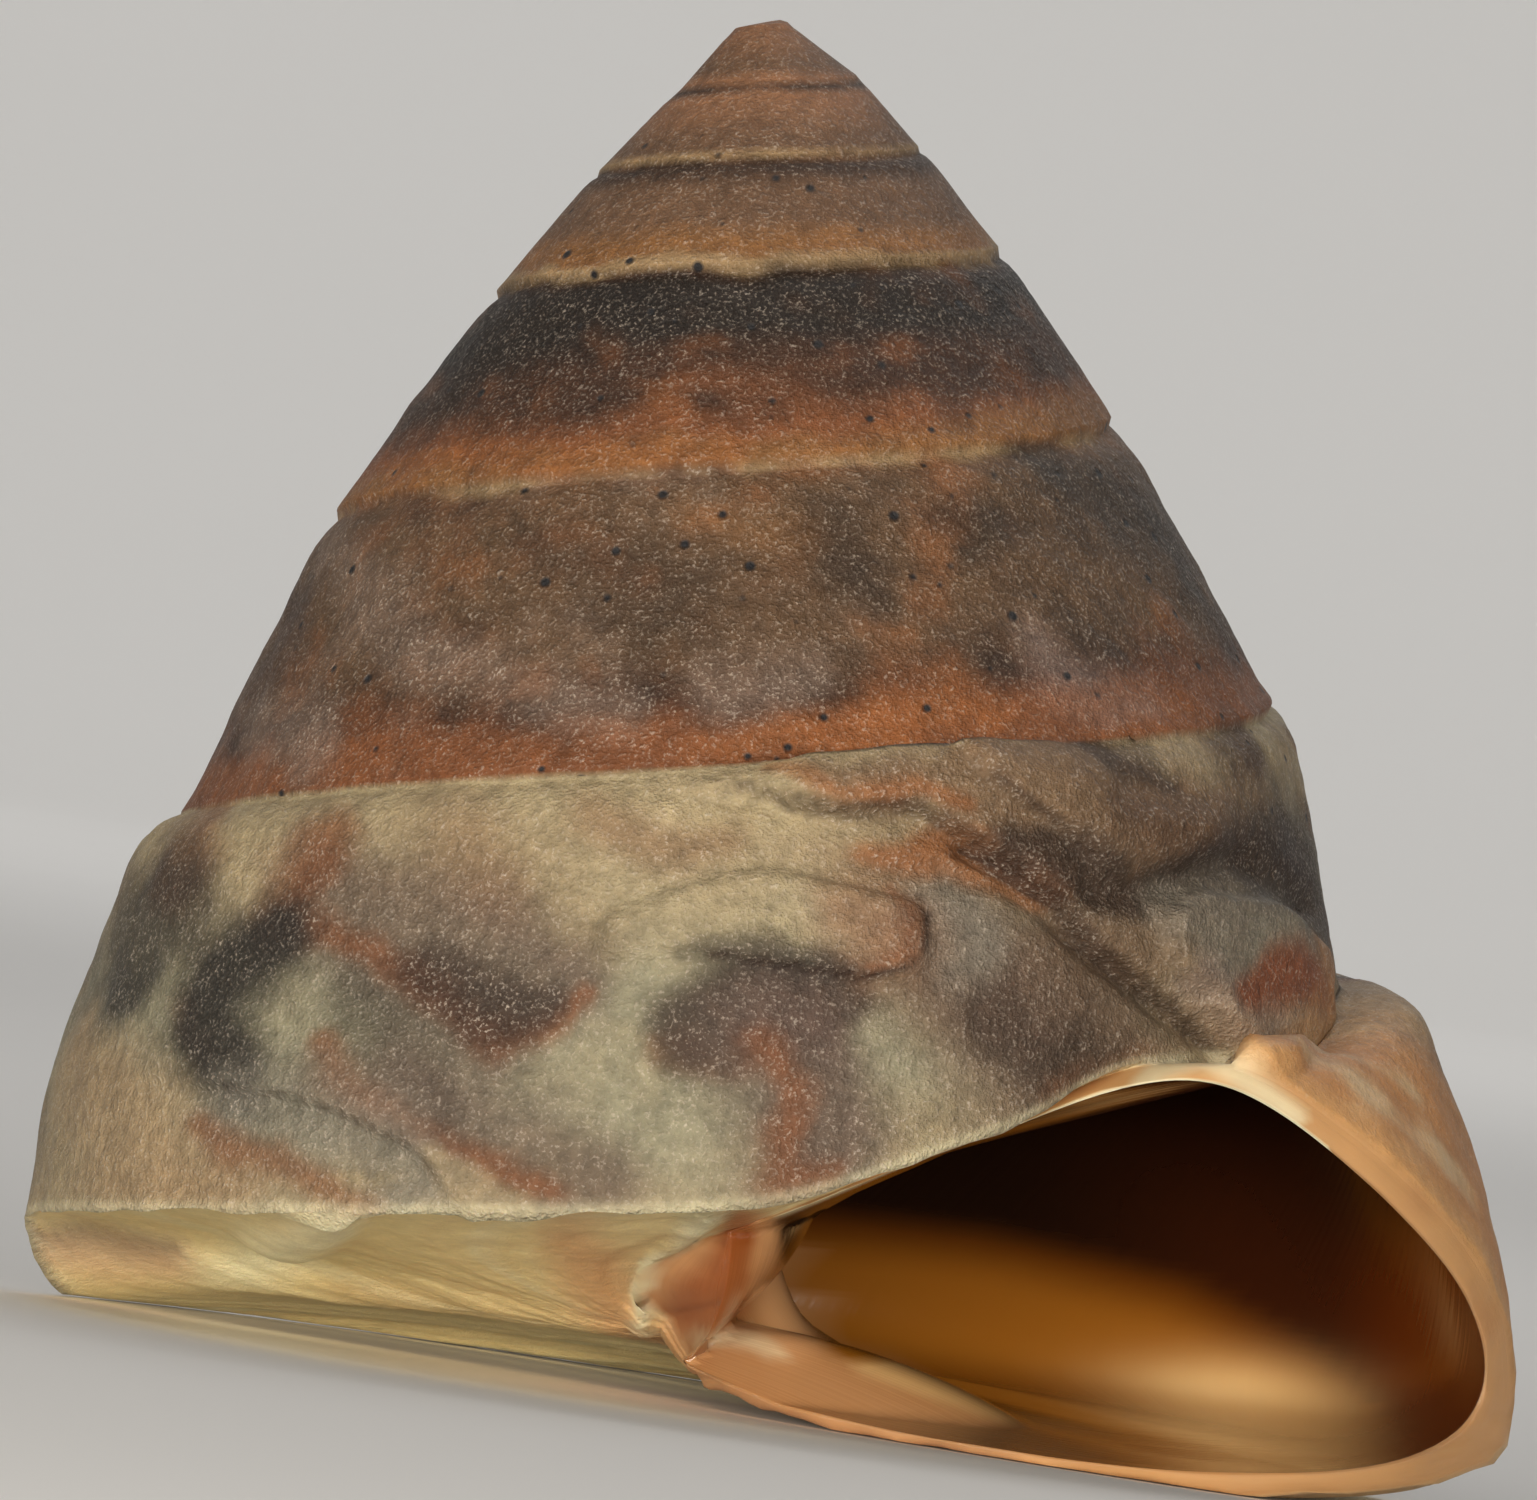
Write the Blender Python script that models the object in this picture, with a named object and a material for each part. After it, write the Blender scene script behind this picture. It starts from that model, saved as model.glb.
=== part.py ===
"""A small black-mouthed conniwink shell, as found: a steep cone of about seven flat whorls that rests on its rim.

The shell is drawn about its own axis first, in millimetres. A place on it is a turn (0 where the lip meets the keel,
-1 one whorl earlier), a radius and a drop below the tip. The shell then leans over to the pose in which it rests,
and the ridges that it rests on are worn flat.
"""

import math

import bmesh
import bpy
import numpy as np

MM = 0.001

# Driving dimensions, in millimetres and degrees
LEAN = 6.05
WEAR = 0.12
LIP_THICKNESS = 0.25
WALL_THICKNESS = 0.85
FLOOR_THICKNESS = 0.30
CEILING_THICKNESS = 0.25
COLUMELLA_RADIUS = 0.75
COLUMELLA_FLARE = 1.15
BASE_CENTRE_DROP = 18.7
SUTURE_STEP = 0.10
LIP_ROUNDING = 0.12
WHORL_WIDTH = 9.5
WHORL_HEIGHT = 5.6
TIP_RADIUS = 0.06

# The keel: turn, radius and drop
KEEL = (
    (-7.0, 0.00, 0.00),
    (-6.5, 0.60, 0.15),
    (-6.0, 1.08, 0.70),
    (-5.5, 1.30, 1.02),
    (-5.0, 1.98, 1.63),
    (-4.5, 2.37, 2.19),
    (-4.0, 3.15, 2.95),
    (-3.5, 3.70, 3.90),
    (-3.0, 4.78, 5.21),
    (-2.5, 5.74, 7.05),
    (-2.0, 7.18, 9.03),
    (-1.5, 7.67, 11.35),
    (-1.0, 8.28, 12.95),
    (-0.94, 8.14, 13.85),
    (-0.875, 8.05, 14.00),
    (-0.82, 8.50, 15.00),
    (-0.75, 8.97, 16.20),
    (-0.62, 9.38, 16.62),
    (-0.50, 9.57, 17.00),
    (-0.44, 9.62, 18.17),
    (-0.36, 9.85, 18.48),
    (-0.25, 10.20, 19.13),
    (-0.12, 10.70, 19.50),
    (0.00, 10.98, 19.10),
    (0.13, 11.20, 19.00),
)

# Where the base meets the columella: turn and drop
COLUMELLA_FOOT = (
    (-7.0, 0.3),
    (-3.0, 6.4),
    (-2.0, 10.5),
    (-1.5, 12.9),
    (-1.0, 15.4),
    (-0.875, 16.4),
    (-0.75, 17.3),
    (-0.50, 18.1),
    (0.0, 18.5),
    (0.25, 18.65),
)

# How far the wall swells out between the suture and the keel: turn and height
WALL_SWELL = ((-7.0, 0.0), (-1.4, 0.05), (-1.0, 0.22), (-0.5, 0.46), (-0.2, 0.75), (0.0, 1.05))

# How far the base swells down between the keel and the columella: turn and depth
BASE_SWELL = ((-7.0, 0.3), (-1.0, 0.1), (-0.75, -0.15), (-0.4, -0.25), (-0.15, 0.1), (0.05, 0.95), (0.3, 0.95))

# Growth lines lean: how many turns each runs ahead of its place on the keel, up the wall and in along the base
LEAD_AT_SUTURE = 0.125
BASE_LEAD = ((0.0, 0.0), (0.18, 0.06), (0.5, 0.125), (0.8, 0.20), (1.0, 0.29))

# Repaired breaks on the front of the last whorl: each runs through places seen from the front, across and down
SCAR = ((-1.4, 10.7), (0.0, 10.8), (1.2, 10.7), (2.6, 10.9), (3.7, 11.4), (5.0, 12.0), (6.2, 12.7), (7.7, 14.0))
UPPER_FOLD = ((1.2, 10.4), (2.4, 10.0), (3.5, 9.7), (4.8, 9.7))
FOLDS = ((SCAR, 0.35, 0.16), (UPPER_FOLD, 0.30, 0.12))

# Lobes of shell that overlap what is below them: two ends, each across and down, then radius and height
LOBES = (
    ((-2.4, 12.45), (1.75, 12.45), 0.62, 0.14),
    ((6.6, 12.5), (7.4, 13.4), 0.75, 0.20),
)

WRINKLES_PER_TURN = 26
WRINKLE_HEIGHT = 0.09

# Fineness of the surface before it is simplified
STEPS_PER_TURN = 96
WALL_ROWS = 14
BASE_ROWS = 14
PILLAR_ROWS = 6
LIP_ROWS = 4
CAVITY_TURNS = 1.3
CORNER_POWER = 8.0
MOST_TRIANGLES = 8600

OUTSIDE_COLOUR = (0.24, 0.17, 0.11, 1.0)


def smooth_curve(stations, column):
    """A function through the stations that never swings past them."""
    xs = np.array([row[0] for row in stations])
    ys = np.array([row[column] for row in stations])
    widths = np.diff(xs)
    slopes = np.diff(ys) / widths
    tangents = np.zeros(len(xs))
    tangents[0] = slopes[0]
    tangents[-1] = slopes[-1]
    for i in range(1, len(xs) - 1):
        if slopes[i - 1] * slopes[i] > 0:
            before = 2 * widths[i] + widths[i - 1]
            after = widths[i] + 2 * widths[i - 1]
            tangents[i] = (before + after) / (before / slopes[i - 1] + after / slopes[i])

    def value(x):
        x = np.clip(x, xs[0], xs[-1])
        i = np.clip(np.searchsorted(xs, x, side="right") - 1, 0, len(xs) - 2)
        u = (x - xs[i]) / widths[i]
        rise = ys[i] * (1 + 2 * u) * (1 - u) ** 2 + ys[i + 1] * u**2 * (3 - 2 * u)
        bend = widths[i] * u * (1 - u) * (tangents[i] * (1 - u) - tangents[i + 1] * u)
        return rise + bend

    return value


keel_radius = smooth_curve(KEEL, 1)
keel_drop = smooth_curve(KEEL, 2)
columella_foot = smooth_curve(COLUMELLA_FOOT, 1)
wall_swell = smooth_curve(WALL_SWELL, 1)
base_swell = smooth_curve(BASE_SWELL, 1)
base_lead = smooth_curve(BASE_LEAD, 1)


def wall_lead(down):
    return LEAD_AT_SUTURE * (1 - down) ** 1.3


def size_at(turn):
    """How large the whorl is beside the last one."""
    return np.minimum(1, keel_radius(turn) / 9)


def wall_point(turn, down):
    """Radius and drop on the wall: down is 0 at the suture and 1 at the keel."""
    top_r, top_h = keel_radius(turn - 1), keel_drop(turn - 1)
    across_r, across_h = keel_radius(turn) - top_r, keel_drop(turn) - top_h
    length = np.hypot(across_r, across_h) + 1e-9
    swell = wall_swell(turn) * np.tanh(down / 0.06) * (1 - down**3.5)
    step = SUTURE_STEP * np.minimum(1, length / 3) * (down / 0.03) * np.exp(1 - down / 0.03)
    out = (swell - step) / length
    return top_r + across_r * down + across_h * out, top_h + across_h * down - across_r * out


def base_point(turn, inward):
    """Radius and drop on the base: inward is 0 at the keel and 1 beside the columella."""
    outer_r, outer_h = keel_radius(turn), keel_drop(turn)
    inner_r, inner_h = COLUMELLA_RADIUS * size_at(turn), columella_foot(turn)
    swell = base_swell(turn) * np.sin(np.pi * inward**0.6)
    return outer_r + (inner_r - outer_r) * inward, outer_h + (inner_h - outer_h) * inward + swell


def in_space(radius, drop, turn):
    angle = 2 * math.pi * np.asarray(turn)
    return np.stack([radius * np.cos(angle), -radius * np.sin(angle), -np.asarray(drop)], axis=-1)


def wall_row(growth, down):
    """Points along one growth line, from the suture to the keel."""
    turn = growth + wall_lead(down)
    return in_space(*wall_point(turn, down), turn)


def base_row(growth, inward):
    """Points along one growth line, from the keel to the columella."""
    turn = growth + base_lead(inward)
    radius, drop = base_point(turn, inward)
    fade = np.sin(np.pi * np.clip(inward * 1.1, 0, 1)) * size_at(turn)
    wrinkle = WRINKLE_HEIGHT * np.sin(2 * math.pi * WRINKLES_PER_TURN * growth) * fade
    return in_space(radius, drop + wrinkle, turn)


def pillar_row(growth):
    """The end of the columella, from the foot of the base to its middle."""
    turn = growth + base_lead(1.0)
    radius, drop = base_point(turn, 1.0)
    share = np.linspace(0, 1, PILLAR_ROWS)[1:]
    drops = drop + (BASE_CENTRE_DROP - drop) * np.sin(share * math.pi / 2)
    return in_space(radius * (1 - share), drops, turn + 0 * share)


def hollow_row(growth, a, b):
    """A loop inside the whorl: a runs from the columella to the wall and b from the ceiling to the floor."""

    def floor(a):
        turn = growth + base_lead(1 - a)
        return np.stack([*base_point(turn, 1 - a), turn])

    def ceiling(a):
        turn = growth + LEAD_AT_SUTURE + base_lead(1 - a)
        return np.stack([*base_point(turn - 1, 1 - a), turn])

    def wall(b):
        turn = growth + wall_lead(b)
        return np.stack([*wall_point(turn, b), turn])

    flare = np.zeros((3, len(a)))
    flare[0] = COLUMELLA_FLARE * size_at(growth)
    start, end = np.zeros_like(a), np.ones_like(a)
    post = ceiling(start) * (1 - b) + floor(start) * b + flare * b**3
    foot = floor(start) + flare
    up = ceiling(a) * (1 - b) + (floor(a) + flare * (1 - a) ** 2) * b
    across = post * (1 - a) + wall(b) * a
    left = ceiling(start) * (1 - b) + foot * b
    right = ceiling(end) * (1 - b) + floor(end) * b
    return in_space(*(up + across - left * (1 - a) - right * a))


def rounded(a, b, depth):
    """Brings the unit square's edge in to a round-cornered loop that leaves the walls their thickness."""
    x, y = 2 * a - 1, 2 * b - 1
    scale = (np.abs(x) ** CORNER_POWER + np.abs(y) ** CORNER_POWER) ** (-1 / CORNER_POWER)
    wall = LIP_THICKNESS + (WALL_THICKNESS - LIP_THICKNESS) * depth
    a_end = 1 - wall / WHORL_WIDTH
    b_start = CEILING_THICKNESS / WHORL_HEIGHT
    b_end = 1 - FLOOR_THICKNESS / WHORL_HEIGHT
    return a_end * (x * scale + 1) / 2, b_start + (b_end - b_start) * (y * scale + 1) / 2


class Sheet:
    """Points and four-sided faces, gathered grid by grid."""

    def __init__(self):
        self.points = []
        self.faces = []

    def grid(self, rows):
        rows = np.asarray(rows)
        start = len(self.points)
        count, width = rows.shape[:2]
        self.points.extend(rows.reshape(-1, 3))
        for i in range(count - 1):
            for j in range(width - 1):
                corner = start + i * width + j
                self.faces.append((corner, corner + 1, corner + width + 1, corner + width))


def wall_shares():
    """Shares of the wall's height, closest together at the suture."""
    return np.concatenate([[0, 0.03, 0.08], np.linspace(0.16, 1, WALL_ROWS - 3)])


def growths(first):
    """Growth lines from the first one to the lip."""
    return np.linspace(first, 0, round(-first * STEPS_PER_TURN) + 1)


def outside(sheet):
    """The wall of every whorl, then the part of the base that no later whorl covers."""
    down = wall_shares()
    inward = np.linspace(0, 1, BASE_ROWS)
    sheet.grid([wall_row(growth, down) for growth in growths(KEEL[0][0] - LEAD_AT_SUTURE)])
    base = [np.concatenate([base_row(g, inward), pillar_row(g)]) for g in growths(LEAD_AT_SUTURE - 1)]
    sheet.grid(base)


def mouth():
    """The edge of the mouth on the outside, and each point's place on the unit square of the hollow."""
    down = wall_shares()
    inward = np.linspace(0, 1, BASE_ROWS)
    back = inward[::-1]
    start = LEAD_AT_SUTURE - 1
    low = np.linspace(1, 0.5, PILLAR_ROWS)[1:]
    high = np.linspace(0.5, 0, PILLAR_ROWS)[1:-1]
    sides = (
        (1 + 0 * down, down, wall_row(0.0, down)),
        (1 - inward[1:], 1 + 0 * inward[1:], base_row(0.0, inward)[1:]),
        (0 * low, low, pillar_row(0.0)),
        (0 * high, high, pillar_row(start)[-2::-1]),
        (1 - back, 0 * back, base_row(start, back)),
    )
    return [np.concatenate([side[i] for side in sides]) for i in range(3)]


def inside(sheet):
    """The lip's edge, rolled in to the hollow, and the hollow back to where the light ends."""
    a, b, edge = mouth()
    hollow = []
    for depth in np.linspace(0, 1, round(CAVITY_TURNS * STEPS_PER_TURN) + 1):
        loop = rounded(a, b, min(1, depth * 6))
        hollow.append(hollow_row(-CAVITY_TURNS * depth, *loop))
    forward = hollow_row(0.02, *rounded(a, b, 0)) - hollow[0]
    forward = forward / np.linalg.norm(forward, axis=1, keepdims=True)
    forward = forward * (LIP_ROUNDING * np.maximum(a, b) ** 2)[:, None]
    rim = []
    for share in np.linspace(0, 1, LIP_ROWS + 1)[:-1]:
        rim.append(edge * (1 - share) + hollow[0] * share + forward * math.sin(math.pi * share))
    end = np.repeat(hollow[-1].mean(axis=0)[None], len(a), axis=0)
    sheet.grid(rim + hollow + [end])


def distance_to_line(across, down, line):
    """How far each place is from a line through the given places."""
    nearest = np.full(across.shape, np.inf)
    for (x0, y0), (x1, y1) in zip(line, line[1:]):
        dx, dy = x1 - x0, y1 - y0
        share = np.clip(((across - x0) * dx + (down - y0) * dy) / (dx * dx + dy * dy), 0, 1)
        nearest = np.minimum(nearest, np.hypot(across - x0 - share * dx, down - y0 - share * dy))
    return nearest


def repaired(points):
    """Raises the folds and lobes that mended breaks have left on the front."""
    across, back, drop = points[:, 0], points[:, 1], -points[:, 2]
    around = np.hypot(across, back)
    outer = around > 0.9 * np.interp(drop, [row[2] for row in KEEL], [row[1] for row in KEEL])
    front = np.clip(-back / 1.5, 0, 1) * outer * (drop < 16)
    height = np.zeros(len(points))
    for line, width, high in FOLDS:
        height += high * np.exp(-((distance_to_line(across, drop, line) / width) ** 2))
    for start, end, radius, high in LOBES:
        height += high / (1 + np.exp((distance_to_line(across, drop, (start, end)) - radius) / 0.08))
    grown = 1 + height * front / np.maximum(around, 1)
    return points * np.stack([grown, grown, np.ones(len(points))], axis=1)


def leaned(points):
    """The shell tips towards -X, until it stands on the back of its keel and on its lip."""
    lean = math.radians(LEAN)
    x, y, z = points.T
    return np.stack([x * math.cos(lean) - z * math.sin(lean), y, z * math.cos(lean) + x * math.sin(lean)], axis=1)


def shell_surface():
    sheet = Sheet()
    outside(sheet)
    inside(sheet)
    points = np.array(sheet.points)
    points[np.linalg.norm(points, axis=1) < TIP_RADIUS] = 0
    return leaned(repaired(points)), sheet.faces


def shell_object(name):
    points, faces = shell_surface()
    mesh = bpy.data.meshes.new(name)
    mesh.from_pydata([tuple(point * MM) for point in points], [], faces)
    bm = bmesh.new()
    bm.from_mesh(mesh)
    bmesh.ops.remove_doubles(bm, verts=bm.verts, dist=1e-7)
    bmesh.ops.recalc_face_normals(bm, faces=bm.faces)
    bmesh.ops.triangulate(bm, faces=bm.faces)
    bm.to_mesh(mesh)
    bm.free()
    return bpy.data.objects.new(name, mesh)


def worn_flat(shell, collection):
    """Cuts the lowest ridges off level, so that the shell stands on small flat spots."""
    lowest = min(vertex.co.z for vertex in shell.data.vertices)
    bpy.ops.mesh.primitive_cube_add(size=1, location=(0, 0, lowest + WEAR * MM - 5 * MM))
    ground = bpy.context.object
    ground.name = "ground_cutter"
    ground.scale = (60 * MM, 60 * MM, 10 * MM)
    ground.display_type = "WIRE"
    ground.hide_render = True
    for owner in list(ground.users_collection):
        owner.objects.unlink(ground)
    collection.objects.link(ground)
    cut = shell.modifiers.new("Worn flat", "BOOLEAN")
    cut.operation = "DIFFERENCE"
    cut.object = ground


def simplified(shell):
    thin = shell.modifiers.new("Simplified", "DECIMATE")
    thin.ratio = MOST_TRIANGLES / len(shell.data.polygons)
    thin.use_collapse_triangulate = True


def apply_modifiers(shell):
    graph = bpy.context.evaluated_depsgraph_get()
    mesh = bpy.data.meshes.new_from_object(shell.evaluated_get(graph))
    shell.modifiers.clear()
    shell.data = mesh


def stand_at_origin(shell):
    """Puts the middle of the shell's footprint at the origin and its lowest points at height 0."""
    points = np.array([vertex.co for vertex in shell.data.vertices])
    middle = (points.min(axis=0) + points.max(axis=0)) / 2
    middle[2] = points[:, 2].min()
    for vertex in shell.data.vertices:
        vertex.co = [float(value) for value in np.array(vertex.co) - middle]


def shell_material():
    material = bpy.data.materials.new("shell_outside")
    material.use_nodes = True
    shader = material.node_tree.nodes["Principled BSDF"]
    shader.inputs["Base Color"].default_value = OUTSIDE_COLOUR
    shader.inputs["Roughness"].default_value = 0.55
    shader.inputs["Metallic"].default_value = 0.0
    return material


def collection_named(name):
    collection = bpy.data.collections.new(name)
    bpy.context.scene.collection.children.link(collection)
    return collection


def main():
    for obj in list(bpy.data.objects):
        bpy.data.objects.remove(obj, do_unlink=True)
    parts = collection_named("conniwink_shell")
    cutters = collection_named("cutters")
    shell = shell_object("shell")
    parts.objects.link(shell)
    simplified(shell)
    apply_modifiers(shell)
    worn_flat(shell, cutters)
    apply_modifiers(shell)
    stand_at_origin(shell)
    shell.data.materials.append(shell_material())
    shell.data.shade_smooth()
    shell.data.set_sharp_from_angle(angle=math.radians(40))


main()
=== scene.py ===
"""Looks of a small black-mouthed conniwink shell: relief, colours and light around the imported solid.

The shell is grown again from the same keel line as the solid, much finer, in millimetres about its own
axis. A place on it is a turn (0 where the lip meets the keel, -1 one whorl earlier) and a share of the way
down the wall or in along the base. Marks that belong to this one shell are placed as seen from the front:
millimetres to the right of the tip and below it. The sides and the back carry the same kinds of mark, drawn
by formula.
"""

import math

import bpy
import mathutils
import numpy as np
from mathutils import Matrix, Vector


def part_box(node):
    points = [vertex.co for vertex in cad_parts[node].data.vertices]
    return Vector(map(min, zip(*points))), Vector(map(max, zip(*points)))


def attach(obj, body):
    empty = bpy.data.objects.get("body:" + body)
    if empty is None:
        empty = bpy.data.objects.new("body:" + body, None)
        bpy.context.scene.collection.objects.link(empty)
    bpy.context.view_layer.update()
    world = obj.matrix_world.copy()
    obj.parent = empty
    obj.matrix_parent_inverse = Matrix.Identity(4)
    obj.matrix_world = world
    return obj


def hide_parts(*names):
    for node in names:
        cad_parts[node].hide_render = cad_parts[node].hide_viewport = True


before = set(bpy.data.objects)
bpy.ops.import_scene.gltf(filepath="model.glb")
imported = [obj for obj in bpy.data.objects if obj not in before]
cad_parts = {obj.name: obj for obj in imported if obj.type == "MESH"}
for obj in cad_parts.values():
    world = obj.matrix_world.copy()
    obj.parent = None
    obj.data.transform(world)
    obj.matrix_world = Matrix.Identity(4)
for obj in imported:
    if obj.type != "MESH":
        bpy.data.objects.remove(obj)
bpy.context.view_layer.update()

MM = 0.001

# Driving dimensions of the shell, in millimetres and degrees, as in the solid
LEAN = 6.05
WEAR = 0.12
LIP_THICKNESS = 0.25
WALL_THICKNESS = 0.85
FLOOR_THICKNESS = 0.30
CEILING_THICKNESS = 0.25
CEILING_EDGE = 0.08
COLUMELLA_RADIUS = 0.75
COLUMELLA_FLARE = 1.15
BASE_CENTRE_DROP = 18.7
SUTURE_STEP = 0.10
FULL_STEP_LENGTH = 3.0
LIP_ROUNDING = 0.12
WHORL_WIDTH = 9.5
WHORL_HEIGHT = 5.6
FULL_RADIUS = 9.0
TIP_RADIUS = 0.06

# The keel: turn, radius and drop
KEEL = (
    (-7.0, 0.0, 0.0), (-6.5, 0.6, 0.15), (-6.0, 1.08, 0.7), (-5.5, 1.3, 1.02), (-5.0, 1.98, 1.63),
    (-4.5, 2.37, 2.19), (-4.0, 3.15, 2.95), (-3.5, 3.7, 3.9), (-3.0, 4.78, 5.21), (-2.5, 5.74, 7.05),
    (-2.0, 7.18, 9.03), (-1.5, 7.67, 11.35), (-1.0, 8.28, 12.95), (-0.94, 8.14, 13.85),
    (-0.875, 8.05, 14.0), (-0.82, 8.5, 15.0), (-0.75, 8.97, 16.2), (-0.62, 9.38, 16.62),
    (-0.5, 9.57, 17.0), (-0.44, 9.62, 18.17), (-0.36, 9.85, 18.48), (-0.25, 10.2, 19.13),
    (-0.12, 10.7, 19.5), (0.0, 10.98, 19.1), (0.13, 11.2, 19.0),
)

# Where the base meets the columella: turn and drop
COLUMELLA_FOOT = (
    (-7.0, 0.3), (-3.0, 6.4), (-2.0, 10.5), (-1.5, 12.9), (-1.0, 15.4), (-0.875, 16.4), (-0.75, 17.3),
    (-0.5, 18.1), (0.0, 18.5), (0.25, 18.65),
)

# How far the wall and the base bulge: turn and millimetres
WALL_SWELL = ((-7.0, 0.0), (-1.4, 0.05), (-1.0, 0.22), (-0.5, 0.46), (-0.2, 0.75), (0.0, 1.05))
BASE_SWELL = ((-7.0, 0.3), (-1.0, 0.1), (-0.75, -0.15), (-0.4, -0.25), (-0.15, 0.1), (0.05, 0.95),
    (0.3, 0.95))
SWELL_RISE = 0.06
SWELL_FALL = 3.5
SUTURE_WIDTH = 0.03
BASE_SWELL_SHIFT = 0.6

# How far each growth line runs ahead of its foot on the keel, in turns: up the wall, and in along the base
LEAD_AT_SUTURE = 0.125
FREE_BASE_FROM = LEAD_AT_SUTURE - 1
LEAD_BEND = 1.3
BASE_LEAD = ((0.0, 0.0), (0.18, 0.06), (0.5, 0.125), (0.8, 0.2), (1.0, 0.29))

# The hollow: how square its corners are, how long it is, how its steps lengthen, where its walls reach their
# full thickness, and how far the fillets beside the columella reach along each side of it
CORNER_POWER = 8.0
CAVITY_TURNS = 1.3
DEPTH_BEND = 1.6
FULL_THICKNESS_TURNS = CAVITY_TURNS / 6
LIP_AHEAD = 0.02
SHIELD_REACH = (0.52, 0.85)
SHIELD_FADE = 0.8
FOOT_REACH = (0.22, 0.42)
FOOT_FULLNESS = 0.9
FOOT_FADE = 0.5

# Fineness: growth lines in a turn, and rows down the wall from each turn on (each count doubles the last)
STEPS_PER_TURN = 360
ROWS_FROM = ((-7.125, 8), (-4.5, 16), (-3.0, 32), (-1.0, 64))
SUTURE_CROWDING = 0.07
BASE_ROWS = 48
PILLAR_ROWS = 8
LIP_ROWS = 6
HOLLOW_STEPS = 84

# The camera: how far the picture is turned, and how far the marks' own picture is turned from the shell's
# axis, in degrees; the frame's width and middle, and the camera's distance and clipping, in millimetres
PICTURE_TURN = 8.9
MARKS_TURN = 2.85
PICTURE_WIDTH = 21.2
PICTURE_MIDDLE = (-1.20, 9.00)
CAMERA_DISTANCE = 300.0
SENSOR_WIDTH = 36.0
CLIP_START = 10.0
CLIP_END = 5000.0

# Soft boxes: name, place and aim in millimetres, width, height, power in watts and colour
SOFT_BOXES = (
    ("key", (-120, -200, 190), (0, 0, 8), 130, 130, 0.10, (1.0, 0.95, 0.87)),
    ("fill", (190, -170, 80), (0, 0, 8), 140, 140, 0.015, (1.0, 0.96, 0.92)),
    ("mouth", (50, -220, 75), (4, -8, 3), 60, 60, 0.05, (1.0, 0.95, 0.88)),
    ("low", (-40, -230, 13), (0, 0, 3), 220, 20, 0.68, (1.0, 0.94, 0.85)),
    ("rim", (60, 150, 200), (0, 0, 8), 120, 120, 0.10, (1.0, 0.98, 0.96)),
    ("backdrop", (0, 500, 700), (0, 1100, 60), 900, 300, 3.2, (1.0, 0.99, 0.98)),
)
SKY = (1.0, 0.98, 0.96, 1.0)
SKY_STRENGTH = 0.13

# Floor: half width, how far it runs back before it curves up, the curve, the height behind, and the gap that
# keeps it clear of the worn spots, in millimetres
FLOOR_HALF = 1500.0
FLOOR_BACK = 900.0
SWEEP_RADIUS = 200.0
SWEEP_STEPS = 12
BACKDROP_HEIGHT = 1200.0
FLOOR_GAP = 0.02
FLOOR_COLOURS = ((0.84, 0.83, 0.81, 1.0), (0.86, 0.85, 0.83, 1.0))
FLOOR_CLOUD = 60.0
FLOOR_ROUGHNESS = 0.8

# Finish of the shell lime. Sizes are in millimetres; pairs go from dry to wet, or from the least to the
# most. CRYSTALS gives the detail and the roughness of the two finer grains
FINE_GRAIN = 0.05
MIDDLING_GRAIN = 0.22
COARSE_GRAIN = 0.9
CRYSTALS = (3.0, 0.6)
MIDDLING_SHADE = 0.22
COARSE_SHADE = 0.10
# Specks of the crystal grain: partly its own pale crystals, partly painted glints
SPECK_AND_GLINT_COLOUR = (0.58, 0.49, 0.40, 1.0)
SPECK_AND_GLINT_STRENGTH = (0.10, 0.48)
FROSTED_SPECKS_AND_GLINTS = 2.0
PIT_COLOUR = (0.018, 0.017, 0.018, 1.0)
PIT_SPACING = 0.45
PIT_SIZE = 0.21
PIT_DEPTH = 0.03
ROUGHNESS = (0.55, 0.14)
GLINT = 0.22
SPECULAR = (0.25, 0.5)
FINE_RELIEF = 0.05
MIDDLING_RELIEF = 0.08
RIBS_PER_TURN = 330.0
RIB_RELIEF = 0.006
SHELL_IOR = 1.53
GLOW_WEIGHT = 0.12
GLOW_RADIUS = (1.0, 0.55, 0.3)
GLOW_DEPTH = 0.5
LIP_SMOOTHNESS = 0.6
BASE_GRAIN = 0.35
RIM_WETNESS = 0.35
BASE_WETNESS = 0.25

# The repeatable noise: how its cells and seeds are scrambled
SCRAMBLE = (127.1, 311.7, 74.7)
SEED_SCRAMBLE = 53.31
SCRAMBLE_SCALE = 43758.5453
SEED_SHIFT = 7.13

# Layers of noise over a place: strength, size of the bumps in millimetres, and seed
WALL_LUMPS = ((0.05, 1.5, 31), (0.03, 0.6, 32), (0.012, 0.25, 33))
BASE_LUMPS = ((0.03, 0.7, 43), (0.015, 0.25, 44))
RIM_LUMPS = ((0.03, 0.35, 51), (0.02, 0.9, 52))
HOLLOW_LUMPS = ((0.012, 1.2, 61),)
MARK_WAVER_U = ((0.30, 1.3, 11), (0.12, 0.4, 12))
MARK_WAVER_V = ((0.30, 1.3, 13), (0.12, 0.4, 14))
LEDGE_WAVER = ((0.05, 0.5, 21),)
LOBE_WAVER_U = ((0.06, 0.6, 22),)
LOBE_WAVER_V = ((0.06, 0.6, 23),)
BAND_WAVER = ((0.05, 1.1, 71), (0.03, 0.35, 72))
MOTTLE = ((1.0, 1.0, 73), (0.6, 0.4, 74))
BLOTCH = ((1.0, 0.8, 75), (0.7, 0.35, 76))
FLAME_WAVER = ((0.35, 2.2, 81), (0.12, 0.7, 82))
FLAME_GAPS = ((1.0, 1.6, 83),)
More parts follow.
